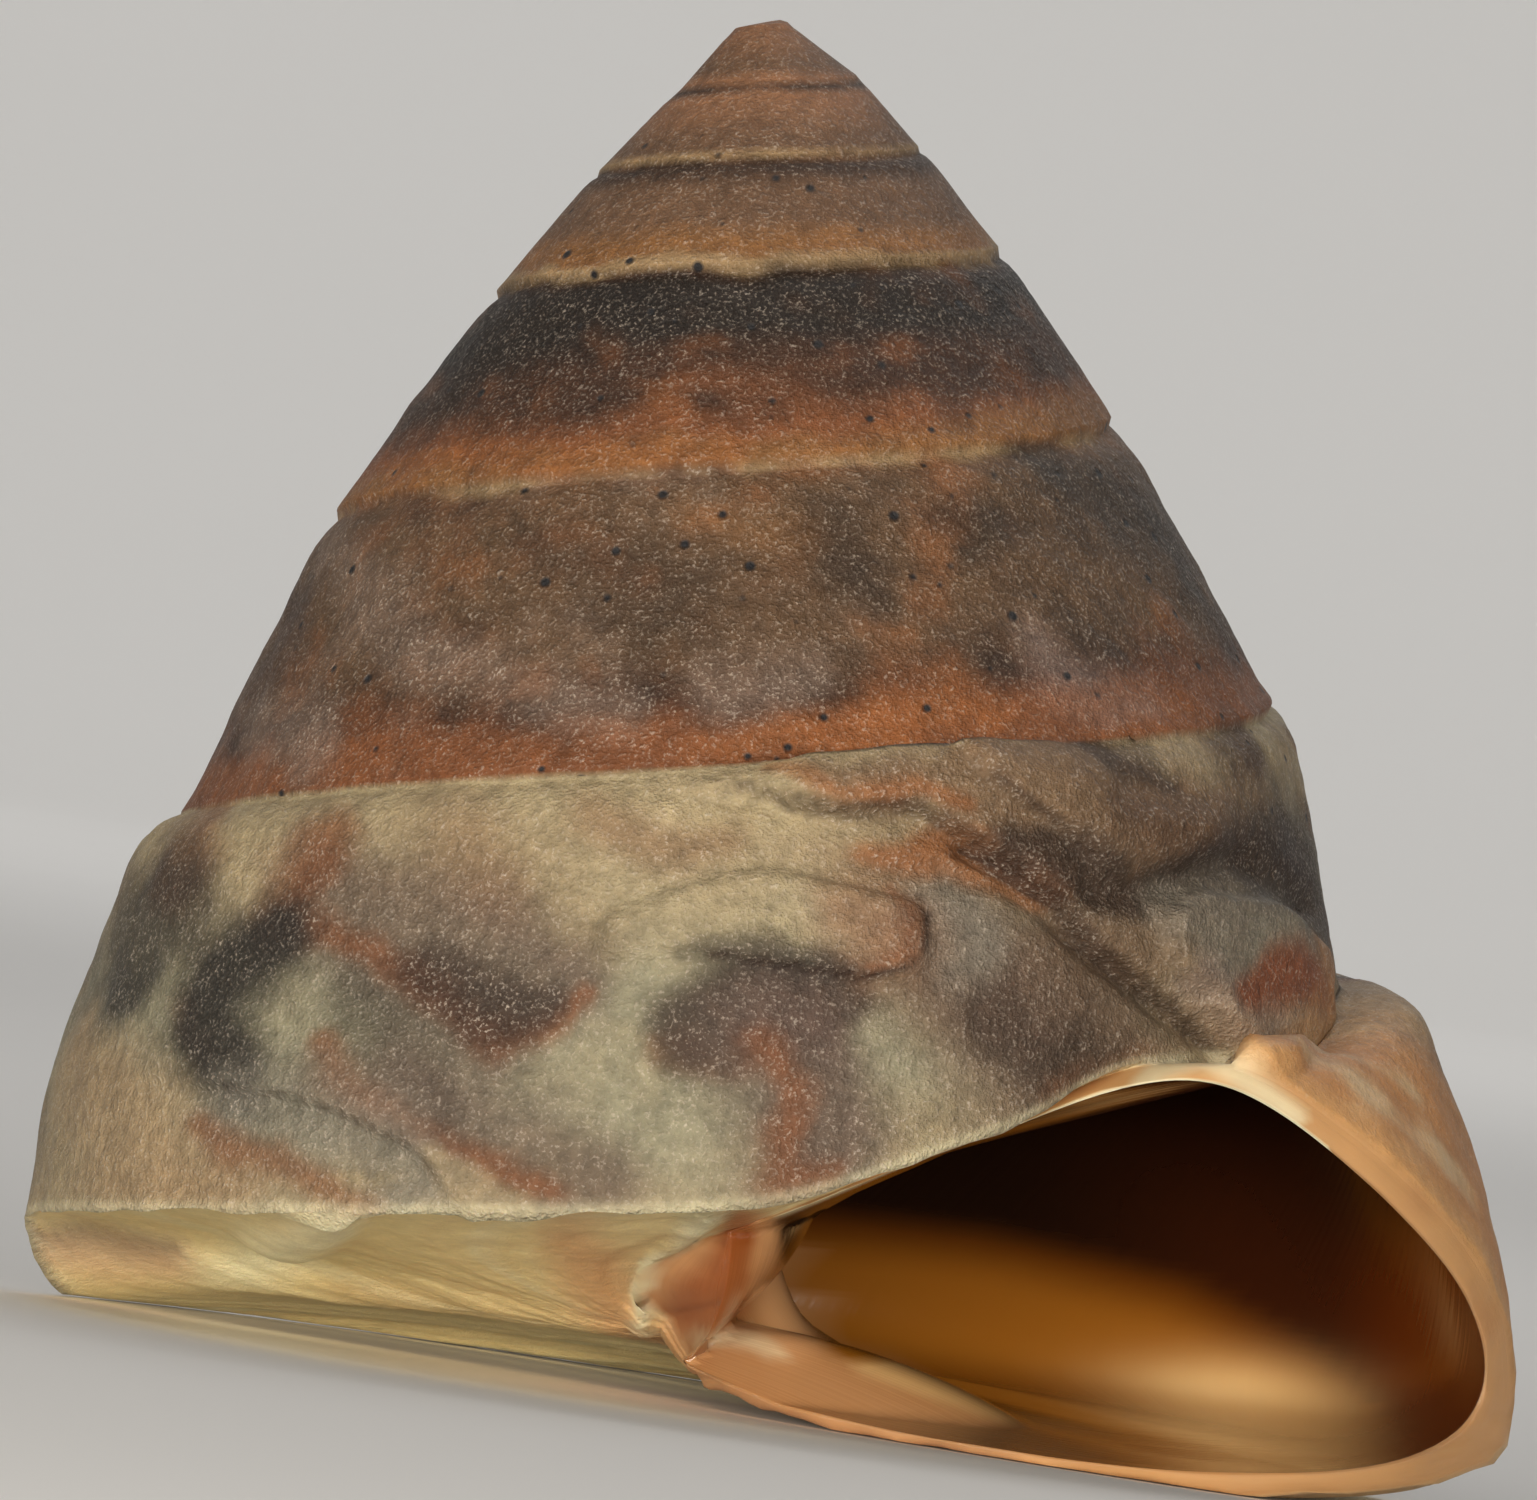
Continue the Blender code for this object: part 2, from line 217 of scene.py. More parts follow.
DARK_PATCHES = ((1.0, 1.8, 84),)
BASE_CLOUDS = ((1.0, 1.6, 93),)
RIM_CLOUDS = ((1.0, 0.9, 95),)
LIP_CLOUDS = ((0.7, 0.7, 98),)
SUGAR_PATCHES = ((1.0, 1.2, 97),)

# Lines across the growth, or beads along an edge: strength, how many to one turn or to the edge, and seed
WALL_LINES = ((0.018, 75, 34), (0.012, 160, 35))
KEEL_BEADS = ((0.045, 90, 36),)
SUTURE_WAVES = ((0.07, 26, 37),)
BASE_WRINKLES = ((0.08, 34, 41), (0.04, 90, 42))
SCALLOPS = ((0.09, 26, 45),)
BASE_STREAKS = ((1.0, 55, 91), (0.6, 130, 92))
LIP_STREAKS = ((1.0, 150, 96),)

# Turns where the looks change; two turns say where a change starts and where it is full
LAST_WHORL = -1.0
LAST_ON_RIGHT = -1.2
OLDER_UP_TO = -0.9
LATE_FROM = (-1.9, -1.6)
BLOTCHES_FROM = -3.3
PATCHES_FROM = (-2.3, -2.0)
PATCHES_TO = (-1.15, -1.0)
LAST_FLAMES_FROM = (-1.55, -1.30)
LINES_FROM = -3.0
WAVES_FROM = -2.5
KEEL_FREE_FROM = -0.95
FRONT_RELIEF_FROM = -1.3
LIP_EDGE = 0.02
BAND_BLEND = (0.3, 0.7)

# Where the front begins, as the share of a point's radius that faces it, and along X or Y in millimetres
FRONT = (-0.1, 0.25)
NEAR_AXIS = 0.2
RIGHT_SIDE = 3.0
SHIELD_FRONT = (-4.0, -1.0)
SHIELD_BACK = 1.0

# The ledge at each suture, in millimetres, and how broad it is above and below as a share of the wall
SUTURE_LEDGE = 0.02
LEDGE_ABOVE = 0.05
LEDGE_BELOW = 0.03

# Edges, as shares of the wall's height, of the base's breadth and of the mouth's height
BEAD_WIDTH = 0.035
WORN_EDGE = 0.02
WRINKLES_FADE = 0.1
LOWER_LIP = 0.95

# Colours as seen in soft light, red, green and blue from 0 to 255, and the most that any may reflect
BRIGHTEST = 0.9
COLOURS = {
    "apex": (136, 95, 66), "tan": (102, 75, 54), "dark line": (60, 42, 30), "ochre": (126, 86, 48),
    "pale band": (146, 120, 86), "charcoal band": (36, 29, 24), "brown": (88, 66, 46),
    "red brown": (62, 40, 27), "rust": (116, 70, 40), "orange": (140, 84, 42), "frost": (124, 104, 90),
    "charcoal": (42, 38, 34), "dark": (50, 37, 30), "purple": (88, 70, 61), "lavender": (134, 112, 102),
    "grey": (112, 106, 94), "cream": (144, 127, 98), "greenish": (136, 130, 106), "pale": (162, 146, 112),
    "pinkish": (154, 127, 94), "salmon": (148, 106, 76), "peach": (170, 124, 82),
    "redbrown": (120, 66, 38), "seam": (44, 28, 20), "lip": (180, 128, 80), "lip edge": (200, 150, 96),
    # The base's colours are partly its own cream and partly painted light, brightened so that the
    # downward-facing base looks lit from below
    "base": (244, 222, 164), "base pink": (220, 182, 148), "base white": (246, 236, 196),
    "base brown": (206, 168, 110), "violet": (104, 82, 76), "shield": (156, 80, 32),
    "shield pale": (220, 164, 112), "amber": (156, 96, 28), "floor pale glow": (236, 192, 130),
    "deep orange": (104, 56, 14), "mouth rust": (92, 38, 8), "mouth brown": (60, 27, 12),
    "mouth dark": (34, 19, 11),
}

# Bands from one suture to the next, by the turn of each whorl's front: share of the way down, and colour
SPIRE_BANDS = {
    -6.75: ((0.0, "apex"), (1.0, "apex")),
    -5.75: ((0.0, "apex"), (0.8, "tan"), (1.0, "apex")),
    -4.75: ((0.0, "dark line"), (0.1, "dark line"), (0.2, "apex"), (0.75, "tan"), (0.9, "tan"),
        (1.0, "pale band")),
    -3.75: ((0.0, "tan"), (0.05, "dark line"), (0.14, "dark line"), (0.28, "tan"), (0.6, "tan"),
        (0.8, "ochre"), (0.92, "ochre"), (0.96, "pale band"), (1.0, "pale band")),
    -2.75: ((0.0, "pale band"), (0.05, "red brown"), (0.12, "charcoal band"), (0.34, "charcoal band"),
        (0.5, "red brown"), (0.68, "red brown"), (0.84, "rust"), (0.95, "ochre"), (1.0, "ochre")),
    -1.75: ((0.0, "pale band"), (0.04, "tan"), (0.09, "brown"), (0.3, "brown"), (0.62, "brown"),
        (0.8, "red brown"), (0.9, "rust"), (1.0, "rust")),
    -0.75: ((0.0, "pale"), (0.2, "cream"), (0.5, "greenish"), (0.8, "greenish"), (1.0, "cream")),
    0.25: ((0.0, "pinkish"), (1.0, "pinkish")),
}

# Marks on the front of the older whorls: colour, strength and path, as (right, down, half width) places
MARK_SOFTNESS = 0.9
SPIRE_MARKS = (
    ("charcoal band", 0.75, (-4.6, 4.5, 0.4), (-3.4, 4.2, 0.45), (-1.5, 4.0, 0.35), (1.2, 3.9, 0.35),
        (3.2, 3.6, 0.25)),
    ("charcoal band", 0.6, (-5.0, 5.3, 0.2), (-4.0, 4.9, 0.3)),
    ("rust", 0.5, (-1.2, 5.0, 0.2), (0.2, 5.3, 0.3), (0.9, 5.7, 0.2)),
    ("ochre", 0.6, (3.0, 5.6, 0.2), (3.9, 5.3, 0.25), (4.6, 5.6, 0.15)),
    ("orange", 0.5, (-5.2, 6.2, 0.22), (-3.0, 6.1, 0.2), (-0.6, 6.0, 0.15)),
    ("frost", 0.41, (-6.2, 7.3, 0.3), (-5.4, 8.1, 0.5), (-4.8, 8.9, 0.45)),
    ("frost", 0.45, (-7.2, 9.5, 0.35), (-6.6, 9.9, 0.55), (-6.3, 10.3, 0.3)),
    ("frost", 0.41, (-4.4, 8.8, 0.35), (-3.4, 9.3, 0.45), (-2.3, 9.5, 0.35)),
    ("frost", 0.45, (-0.9, 9.2, 0.3), (-0.1, 9.3, 0.45), (0.6, 9.0, 0.2)),
    ("lavender", 0.45, (3.4, 8.5, 0.3), (4.1, 9.1, 0.4), (5.0, 9.6, 0.2)),
    ("charcoal", 0.7, (3.5, 6.1, 0.22), (4.3, 6.4, 0.35), (5.2, 7.1, 0.35), (5.7, 7.9, 0.2)),
    ("charcoal band", 0.6, (2.3, 6.9, 0.25), (3.2, 7.0, 0.35), (2.6, 7.5, 0.25)),
    ("charcoal band", 0.5, (0.3, 7.2, 0.25), (1.1, 7.8, 0.35), (1.6, 8.3, 0.2)),
    ("charcoal band", 0.4, (-3.2, 7.2, 0.3), (-1.8, 7.9, 0.5), (-1.0, 8.6, 0.3)),
    ("ochre", 0.35, (-1.2, 6.9, 0.3), (0.2, 7.2, 0.3)),
    ("rust", 0.65, (-8.0, 10.6, 0.3), (-6.6, 10.8, 0.22), (-4.6, 10.4, 0.25), (-3.0, 10.3, 0.25),
        (-1.0, 10.2, 0.2)),
    ("rust", 0.5, (-5.8, 9.6, 0.25), (-4.9, 10.1, 0.3), (-3.6, 10.3, 0.2)),
    ("orange", 0.6, (-0.6, 10.1, 0.15), (1.0, 9.8, 0.35), (2.3, 9.5, 0.35), (3.0, 9.7, 0.2)),
    ("rust", 0.5, (3.8, 9.3, 0.2), (5.0, 9.2, 0.3), (6.2, 9.2, 0.2)),
    ("red brown", 0.5, (-7.0, 8.0, 0.3), (-6.7, 8.8, 0.35), (-7.4, 9.3, 0.2)),
)

# Marks on the front of the last whorl in the order of laying: colour, strength, softness and path
FLAMES = (
    ("tan", 0.8, 0.9, (1.6, 11.3, 0.7), (3.2, 11.3, 0.9), (4.8, 12.0, 1.0), (3.6, 13.4, 1.0),
        (2.2, 12.8, 0.7)),
    ("tan", 0.75, 0.9, (0.6, 10.5, 0.3), (2.0, 10.2, 0.4), (3.6, 10.1, 0.5), (5.6, 11.0, 0.7)),
    ("red brown", 0.5, 0.9, (4.6, 11.0, 0.3), (5.8, 11.4, 0.5), (7.0, 11.6, 0.5), (7.6, 12.6, 0.3)),
    ("tan", 0.45, 0.9, (-4.6, 11.2, 0.5), (-3.6, 11.8, 0.5), (-2.4, 12.6, 0.4)),
    ("pinkish", 0.7, 0.9, (-9.5, 14.2, 0.41), (-9.2, 15.0, 0.69), (-8.6, 15.7, 0.83), (-7.6, 16.1, 0.41)),
    ("pale", 0.6, 0.8, (-8.7, 11.7, 0.33), (-8.4, 11.3, 0.28)),
    ("pale", 0.5, 0.8, (-7.3, 11.6, 0.36), (-7.0, 11.2, 0.28)),
    ("pale", 0.5, 0.9, (-5.2, 11.4, 0.4), (-2.8, 11.8, 0.5), (-0.5, 12.2, 0.5)),
    ("greenish", 0.6, 0.9, (-6.4, 13.6, 0.5), (-5.0, 13.9, 0.4), (-3.0, 14.6, 0.5), (-1.2, 15.2, 0.6)),
    ("rust", 0.68, 0.9, (-7.8, 11.0, 0.19), (-8.1, 11.6, 0.22), (-8.3, 12.0, 0.19)),
    ("charcoal", 0.8, 0.7, (-8.2, 11.9, 0.25), (-8.5, 12.3, 0.33), (-8.8, 12.7, 0.28),
        (-9.0, 13.3, 0.17)),
    ("charcoal", 0.5, 0.9, (-9.1, 13.1, 0.17), (-9.3, 13.5, 0.19)),
    ("purple", 0.75, 0.6, (-6.2, 12.0, 0.41), (-5.4, 12.4, 0.52), (-4.6, 12.8, 0.58), (-3.6, 13.2, 0.55),
        (-2.8, 13.3, 0.3)),
    ("rust", 0.72, 0.85, (-5.9, 11.0, 0.19), (-6.5, 11.7, 0.36), (-6.8, 12.2, 0.3), (-6.2, 12.5, 0.19),
        (-5.4, 12.8, 0.17), (-4.8, 13.2, 0.19), (-4.1, 13.7, 0.17), (-3.6, 13.9, 0.17),
        (-2.9, 13.8, 0.14), (-2.5, 13.4, 0.1)),
    ("dark", 0.8, 0.6, (-4.8, 13.0, 0.19), (-4.1, 13.4, 0.28), (-3.4, 13.6, 0.22), (-3.0, 13.5, 0.14)),
    ("rust", 0.48, 0.9, (-8.1, 13.7, 0.17), (-7.9, 14.1, 0.19)),
    ("charcoal", 0.95, 0.6, (-6.8, 12.4, 0.28), (-7.4, 13.0, 0.39), (-7.7, 13.6, 0.33),
        (-7.7, 14.1, 0.39), (-7.3, 14.5, 0.25)),
    ("charcoal", 0.5, 0.8, (-5.8, 13.5, 0.25), (-5.2, 14.3, 0.44), (-4.6, 14.7, 0.3)),
    ("purple", 0.7, 0.7, (-5.0, 14.6, 0.3), (-4.1, 15.0, 0.39), (-3.3, 15.4, 0.41), (-2.6, 15.8, 0.36),
        (-3.0, 16.0, 0.25)),
    ("rust", 0.75, 0.85, (-6.1, 14.1, 0.14), (-5.9, 14.5, 0.22), (-5.2, 14.9, 0.17), (-4.6, 15.2, 0.19),
        (-3.9, 15.5, 0.19), (-3.4, 15.9, 0.19), (-3.2, 16.1, 0.14)),
    ("grey", 0.7, 0.8, (-7.5, 14.9, 0.28), (-6.3, 15.0, 0.41), (-5.2, 15.3, 0.36), (-4.8, 15.7, 0.28),
        (-5.4, 16.1, 0.19)),
    ("rust", 0.68, 0.9, (-7.9, 15.1, 0.14), (-7.4, 15.5, 0.18), (-6.8, 15.7, 0.17), (-6.3, 16.0, 0.19),
        (-5.6, 16.3, 0.12)),
    ("cream", 0.8, 0.5, (-4.7, 15.5, 0.17), (-4.2, 15.9, 0.28), (-3.8, 16.1, 0.19)),
    ("rust", 0.56, 0.9, (-1.5, 14.2, 0.11), (-1.1, 14.2, 0.17), (-0.6, 14.4, 0.11)),
    ("dark", 0.9, 0.6, (-1.1, 13.9, 0.3), (-0.4, 13.6, 0.39), (0.4, 13.6, 0.41), (1.0, 13.3, 0.25)),
    ("purple", 0.85, 0.6, (0.1, 14.1, 0.47), (0.3, 14.8, 0.47), (0.5, 15.3, 0.47), (0.6, 15.8, 0.41)),
    ("rust", 0.72, 0.9, (-0.3, 14.2, 0.19), (0.1, 14.7, 0.17), (-0.1, 15.2, 0.19), (0.0, 15.8, 0.22),
        (0.8, 15.8, 0.14)),
    ("rust", 0.36, 0.9, (-2.5, 11.0, 0.19), (-1.7, 11.2, 0.3), (-0.8, 11.2, 0.22)),
    ("rust", 0.24, 0.9, (-4.1, 11.4, 0.41), (-3.9, 11.9, 0.36)),
    ("purple", 0.55, 0.8, (2.1, 12.7, 0.33), (2.8, 13.3, 0.47), (3.6, 13.9, 0.61), (4.4, 14.2, 0.41)),
    ("dark", 0.6, 0.8, (2.9, 13.5, 0.22), (3.6, 14.1, 0.28), (4.3, 14.3, 0.17)),
    ("rust", 0.48, 0.9, (3.9, 14.6, 0.19), (4.4, 14.8, 0.28), (4.8, 14.4, 0.22)),
    # A painted shadow: this charcoal line is the shade cast by the tongue on the wall just below it
    ("charcoal", 0.55, 0.9, (-1.2, 12.8, 0.07), (-0.6, 12.9, 0.12), (0.3, 13.0, 0.14), (1.0, 13.1, 0.07)),
    ("grey", 0.7, 0.8, (2.1, 12.2, 0.25), (2.5, 12.7, 0.3)),
    ("salmon", 0.55, 0.9, (1.0, 12.4, 0.39), (1.4, 12.6, 0.44)),
    ("rust", 0.6, 0.8, (1.5, 11.9, 0.05), (1.85, 12.3, 0.08), (1.8, 12.8, 0.08), (1.3, 13.1, 0.06)),
    ("orange", 0.6, 0.7, (1.1, 11.4, 0.14), (2.0, 11.5, 0.22), (2.8, 11.7, 0.25), (3.7, 12.0, 0.17)),
    ("dark", 0.85, 0.6, (3.0, 11.4, 0.17), (3.9, 11.7, 0.22), (4.6, 12.0, 0.17), (5.0, 11.9, 0.14),
        (5.7, 11.6, 0.17), (6.3, 11.4, 0.28), (6.8, 11.7, 0.41), (7.3, 12.3, 0.3), (7.6, 12.8, 0.17)),
    ("dark", 0.8, 0.8, (6.9, 11.2, 0.25), (7.4, 12.0, 0.3), (7.75, 12.9, 0.2)),
    ("pale", 0.65, 0.8, (0.3, 10.3, 0.08), (1.3, 10.05, 0.2), (2.4, 10.0, 0.2), (3.2, 10.1, 0.1)),
    ("orange", 0.6, 0.8, (-0.2, 10.5, 0.06), (0.7, 10.75, 0.09), (1.6, 10.65, 0.08), (2.4, 10.9, 0.08)),
    ("pale", 0.45, 0.9, (-1.6, 10.6, 0.15), (-0.6, 10.9, 0.2), (0.8, 11.1, 0.18), (1.8, 11.1, 0.12)),
    ("pinkish", 0.5, 0.9, (5.6, 13.6, 0.3), (6.3, 13.9, 0.35), (6.9, 13.8, 0.25)),
    ("dark", 0.75, 0.6, (4.0, 9.8, 0.08), (4.4, 10.0, 0.18), (4.8, 10.3, 0.15), (5.2, 10.6, 0.08)),
    ("cream", 0.7, 0.7, (4.8, 9.9, 0.17), (5.4, 10.1, 0.3), (5.8, 10.3, 0.19)),
    ("red brown", 0.85, 0.6, (6.1, 9.9, 0.22), (6.3, 10.2, 0.28)),
    ("grey", 0.7, 0.7, (5.2, 12.2, 0.25), (5.8, 12.4, 0.44), (6.5, 12.6, 0.39)),
    ("lavender", 0.5, 0.8, (5.4, 13.0, 0.22), (6.0, 13.5, 0.41), (6.6, 13.9, 0.28)),
    ("redbrown", 0.95, 0.7, (6.1, 13.2, 0.19), (6.6, 13.2, 0.36), (7.0, 13.3, 0.28)),
    ("peach", 0.6, 0.6, (7.0, 12.6, 0.11), (7.3, 13.1, 0.17), (7.3, 13.8, 0.17), (6.9, 14.2, 0.17)),
)

# How much broader than its path a flame is laid on, because its ragged edges take from it, and how far the
# edges of the flames and of the base's marks waver beside those of the spire
FLAME_SPREAD = {"charcoal": 1.9, "purple": 2.1, "dark": 1.8, "grey": 1.6}
OTHER_SPREAD = 1.3
FLAME_RAGGEDNESS = 0.75
BASE_RAGGEDNESS = 0.3

# Thin dark seams along the mended breaks: strength and path
SEAM_SOFTNESS = 0.6
SEAMS = (
    (0.6, (-0.6, 10.55, 0.03), (-0.2, 10.6, 0.04), (0.2, 10.8, 0.07), (0.9, 10.9, 0.06),
        (1.5, 10.8, 0.06), (2.0, 10.9, 0.05), (2.7, 11.3, 0.05)),
    (0.6, (2.8, 10.5, 0.04), (3.2, 10.8, 0.05), (3.6, 11.0, 0.04)),
    (0.7, (2.6, 11.3, 0.05), (3.2, 11.7, 0.08), (3.8, 12.1, 0.1), (4.3, 12.7, 0.1), (4.8, 13.1, 0.1),
        (5.3, 13.5, 0.09), (6.0, 14.1, 0.05)),
    (0.8, (6.7, 14.3, 0.04), (7.0, 14.3, 0.06), (7.4, 14.2, 0.04)),
    (0.8, (1.9, 12.0, 0.03), (2.0, 12.4, 0.04), (1.8, 12.9, 0.04), (1.2, 13.1, 0.05), (0.0, 12.95, 0.05),
        (-1.1, 12.75, 0.04)),
    (0.4, (-7.5, 14.6, 0.02), (-6.6, 14.7, 0.03), (-5.7, 15.0, 0.03), (-4.9, 15.4, 0.04),
        (-4.4, 16.0, 0.03)),
)

# Relief of the mended breaks: height, reach and path; a ledge's higher side is on the left of its path
LEDGE_WIDTH = 0.05
LEDGES = (
    (0.2, 0.45, (-0.6, 10.6), (-0.2, 10.6), (0.2, 10.8), (0.9, 10.9), (1.5, 10.8), (2.0, 10.9),
        (2.3, 11.1), (2.7, 11.3)),
    (0.12, 0.35, (2.6, 10.4), (3.2, 10.8), (3.6, 11.0), (4.2, 11.5)),
    (0.14, 0.5, (2.7, 11.3), (3.2, 11.7), (3.8, 12.1), (4.3, 12.7), (4.8, 13.1), (5.3, 13.5),
        (6.0, 14.1)),
    (0.1, 0.7, (-7.5, 14.6), (-6.6, 14.7), (-5.7, 15.0), (-4.9, 15.4), (-4.4, 16.0)),
    (0.1, 0.4, (1.2, 11.45), (2.2, 11.55), (3.2, 11.9), (4.2, 12.6)),
)
GROOVES = (
    (0.26, 0.18, (2.6, 11.35), (3.2, 11.75), (3.8, 12.2), (4.3, 12.75), (4.8, 13.15), (5.3, 13.55),
        (6.0, 14.1)),
    (0.18, 0.22, (4.2, 12.0), (5.0, 11.9), (5.7, 11.65), (6.3, 11.5), (7.2, 12.2)),
)
SWELLS = (
    (0.28, 0.5, (0.5, 10.35), (2.0, 10.2), (3.4, 10.5), (4.6, 11.1), (5.6, 11.2)),
    (0.1, 0.3, (1.6, 10.0), (3.0, 9.95), (4.2, 10.4)),
)
TONGUE = ((-2.2, 12.6, 0.28), (-1.1, 12.3, 0.47), (0.0, 12.3, 0.61), (1.0, 12.5, 0.63), (1.4, 12.6, 0.58))
TONGUE_HEIGHT = 0.20
TONGUE_SOFTNESS = 0.12
LOBE = ((5.7, 12.6, 0.61), (6.2, 12.8, 0.76), (6.6, 13.3, 0.86), (6.7, 13.6, 0.77))
LOBE_HEIGHT = 0.28
LOBE_SOFTNESS = 0.10

# On the base, as seen from the front
BASE_RIDGE = ((-6.0, 16.3, 0.3), (-7.0, 16.95, 0.42), (-7.8, 17.5, 0.4))
BASE_RIDGE_HEIGHT = 0.28
RIDGE_SOFTNESS = 0.8
SHIELD_EDGE = ((-1.0, 16.3, 0.14), (-1.4, 16.7, 0.12), (-1.7, 17.0, 0.12), (-1.9, 17.5, 0.11),
    (-1.9, 18.0, 0.11))
SHIELD_EDGE_HEIGHT = 0.12
BASE_MARKS = (
    ("base pink", 0.8, 0.9, (-10.2, 17.0, 0.3), (-9.4, 17.2, 0.4), (-8.4, 17.2, 0.3)),
    ("violet", 0.6, 0.95, (-10.1, 16.75, 0.16), (-9.6, 16.75, 0.26), (-9.0, 16.85, 0.22),
        (-8.4, 16.9, 0.16)),
    ("base white", 0.8, 0.8, (-10.35, 16.9, 0.15), (-10.25, 17.3, 0.15), (-9.9, 17.55, 0.15)),
    ("base white", 0.85, 0.9, *BASE_RIDGE),
    ("base brown", 0.35, 0.9, (-6.0, 17.6, 0.3), (-3.5, 18.0, 0.4), (-1.5, 18.4, 0.3)),
    ("shield pale", 0.7, 0.9, (-2.8, 16.7, 0.4), (-2.4, 17.4, 0.5), (-2.2, 18.0, 0.3)),
    ("shield", 0.9, 0.6, (-0.5, 16.3, 0.22), (-0.65, 17.0, 0.42), (-0.95, 17.6, 0.5), (-1.1, 17.8, 0.5)),
    ("shield pale", 0.85, 0.7, (-0.25, 16.4, 0.12), (-0.2, 17.0, 0.22), (-0.05, 17.5, 0.25),
        (0.2, 18.1, 0.32)),
    ("base white", 0.9, 0.6, *SHIELD_EDGE),
    ("peach", 0.8, 0.9, (-1.8, 18.25, 0.3), (-0.5, 18.45, 0.35), (0.8, 18.9, 0.35), (3.0, 19.5, 0.2)),
    ("base white", 0.35, 0.9, (-1.2, 18.1, 0.08), (-0.4, 18.15, 0.12), (0.0, 18.3, 0.08)),
)

# In the mouth, as seen from the front: the shield's border, where the floor leaves the shade, a painted
# highlight in white along the lip's upper edge, and a painted glow on the floor, where light shines through
# the thin shell, with its half size
MOUTH_CORNER = ((-0.1, 15.9), (-0.06, 16.8), (0.05, 17.3), (0.45, 18.1), (1.1, 18.6), (3.0, 19.25),
    (6.0, 19.7))
SHADE_LINE = ((-0.5, 16.4), (3.0, 16.8), (5.8, 17.5), (7.6, 18.5), (8.1, 19.0))
RIM_HIGHLIGHT = ((4.7, 14.75, 0.1), (5.1, 14.35, 0.14), (5.7, 14.15, 0.16), (6.3, 14.5, 0.16),
    (7.0, 15.0, 0.12))
# A painted glow on the floor of the mouth, light shining through the thin shell: its middle and half size
PAINTED_GLOW_SPOT = (6.2, 19.1)
PAINTED_GLOW_SPOT_SIZE = (1.5, 0.5)

# Back and sides: flames in a turn, their slant, how far their rust trails, and how long the plain lip is
FLAMES_PER_TURN = 13
FLAME_SLANT = 1.35
RUST_TRAIL = 0.13
PLAIN_LIP = 0.055

WALL, BASE, PILLAR, RIM, HOLLOW = range(5)


def smooth_curve(stations, column):
    """A function through the stations that never swings past them."""
    xs = np.array([row[0] for row in stations])
    ys = np.array([row[column] for row in stations])
    widths = np.diff(xs)
    slopes = np.diff(ys) / widths
    tangents = np.zeros(len(xs))
    tangents[0] = slopes[0]
    tangents[-1] = slopes[-1]
    for i in range(1, len(xs) - 1):
        if slopes[i - 1] * slopes[i] > 0:
            before = 2 * widths[i] + widths[i - 1]
            after = widths[i] + 2 * widths[i - 1]
            tangents[i] = (before + after) / (before / slopes[i - 1] + after / slopes[i])

    def value(x):
        x = np.clip(x, xs[0], xs[-1])
        i = np.clip(np.searchsorted(xs, x, side="right") - 1, 0, len(xs) - 2)
        u = (x - xs[i]) / widths[i]
        rise = ys[i] * (1 + 2 * u) * (1 - u) ** 2 + ys[i + 1] * u**2 * (3 - 2 * u)
        bend = widths[i] * u * (1 - u) * (tangents[i] * (1 - u) - tangents[i + 1] * u)
        return rise + bend

    return value


keel_radius = smooth_curve(KEEL, 1)
keel_drop = smooth_curve(KEEL, 2)
columella_foot = smooth_curve(COLUMELLA_FOOT, 1)
wall_swell = smooth_curve(WALL_SWELL, 1)
base_swell = smooth_curve(BASE_SWELL, 1)
base_lead = smooth_curve(BASE_LEAD, 1)


def wall_lead(down):
    return LEAD_AT_SUTURE * (1 - down) ** LEAD_BEND


def size_at(turn):
    """How large the whorl is beside the last one."""
    return np.minimum(1, keel_radius(turn) / FULL_RADIUS)


def wall_point(turn, down):
    """Radius and drop on the wall: down is 0 at the suture and 1 at the keel."""
    top_r, top_h = keel_radius(turn - 1), keel_drop(turn - 1)
    across_r, across_h = keel_radius(turn) - top_r, keel_drop(turn) - top_h
    length = np.hypot(across_r, across_h) + 1e-9
    swell = wall_swell(turn) * np.tanh(down / SWELL_RISE) * (1 - down**SWELL_FALL)
    below_suture = down / SUTURE_WIDTH
    step = SUTURE_STEP * np.minimum(1, length / FULL_STEP_LENGTH) * below_suture * np.exp(1 - below_suture)
    out = (swell - step) / length
    return top_r + across_r * down + across_h * out, top_h + across_h * down - across_r * out


def base_point(turn, inward):
    """Radius and drop on the base: inward is 0 at the keel and 1 beside the columella."""
    outer_r, outer_h = keel_radius(turn), keel_drop(turn)
    inner_r, inner_h = COLUMELLA_RADIUS * size_at(turn), columella_foot(turn)
    swell = base_swell(turn) * np.sin(np.pi * inward**BASE_SWELL_SHIFT)
    return outer_r + (inner_r - outer_r) * inward, outer_h + (inner_h - outer_h) * inward + swell


def in_space(radius, drop, turn):
    angle = 2 * math.pi * np.asarray(turn)
    return np.stack([radius * np.cos(angle), -radius * np.sin(angle), -np.asarray(drop)], axis=-1)


def wall_line(growth, down):
    """Radius, drop and turn along one growth line, from the suture to the keel."""
    turn = growth + wall_lead(down)
    return np.stack([*wall_point(turn, down), turn])


def base_line(growth, inward, whorl=0):
    """The same from the keel to the columella, on this whorl's base or, with whorl -1, on the one above."""
    turn = growth + base_lead(inward)
    return np.stack([*base_point(turn + whorl, inward), turn])


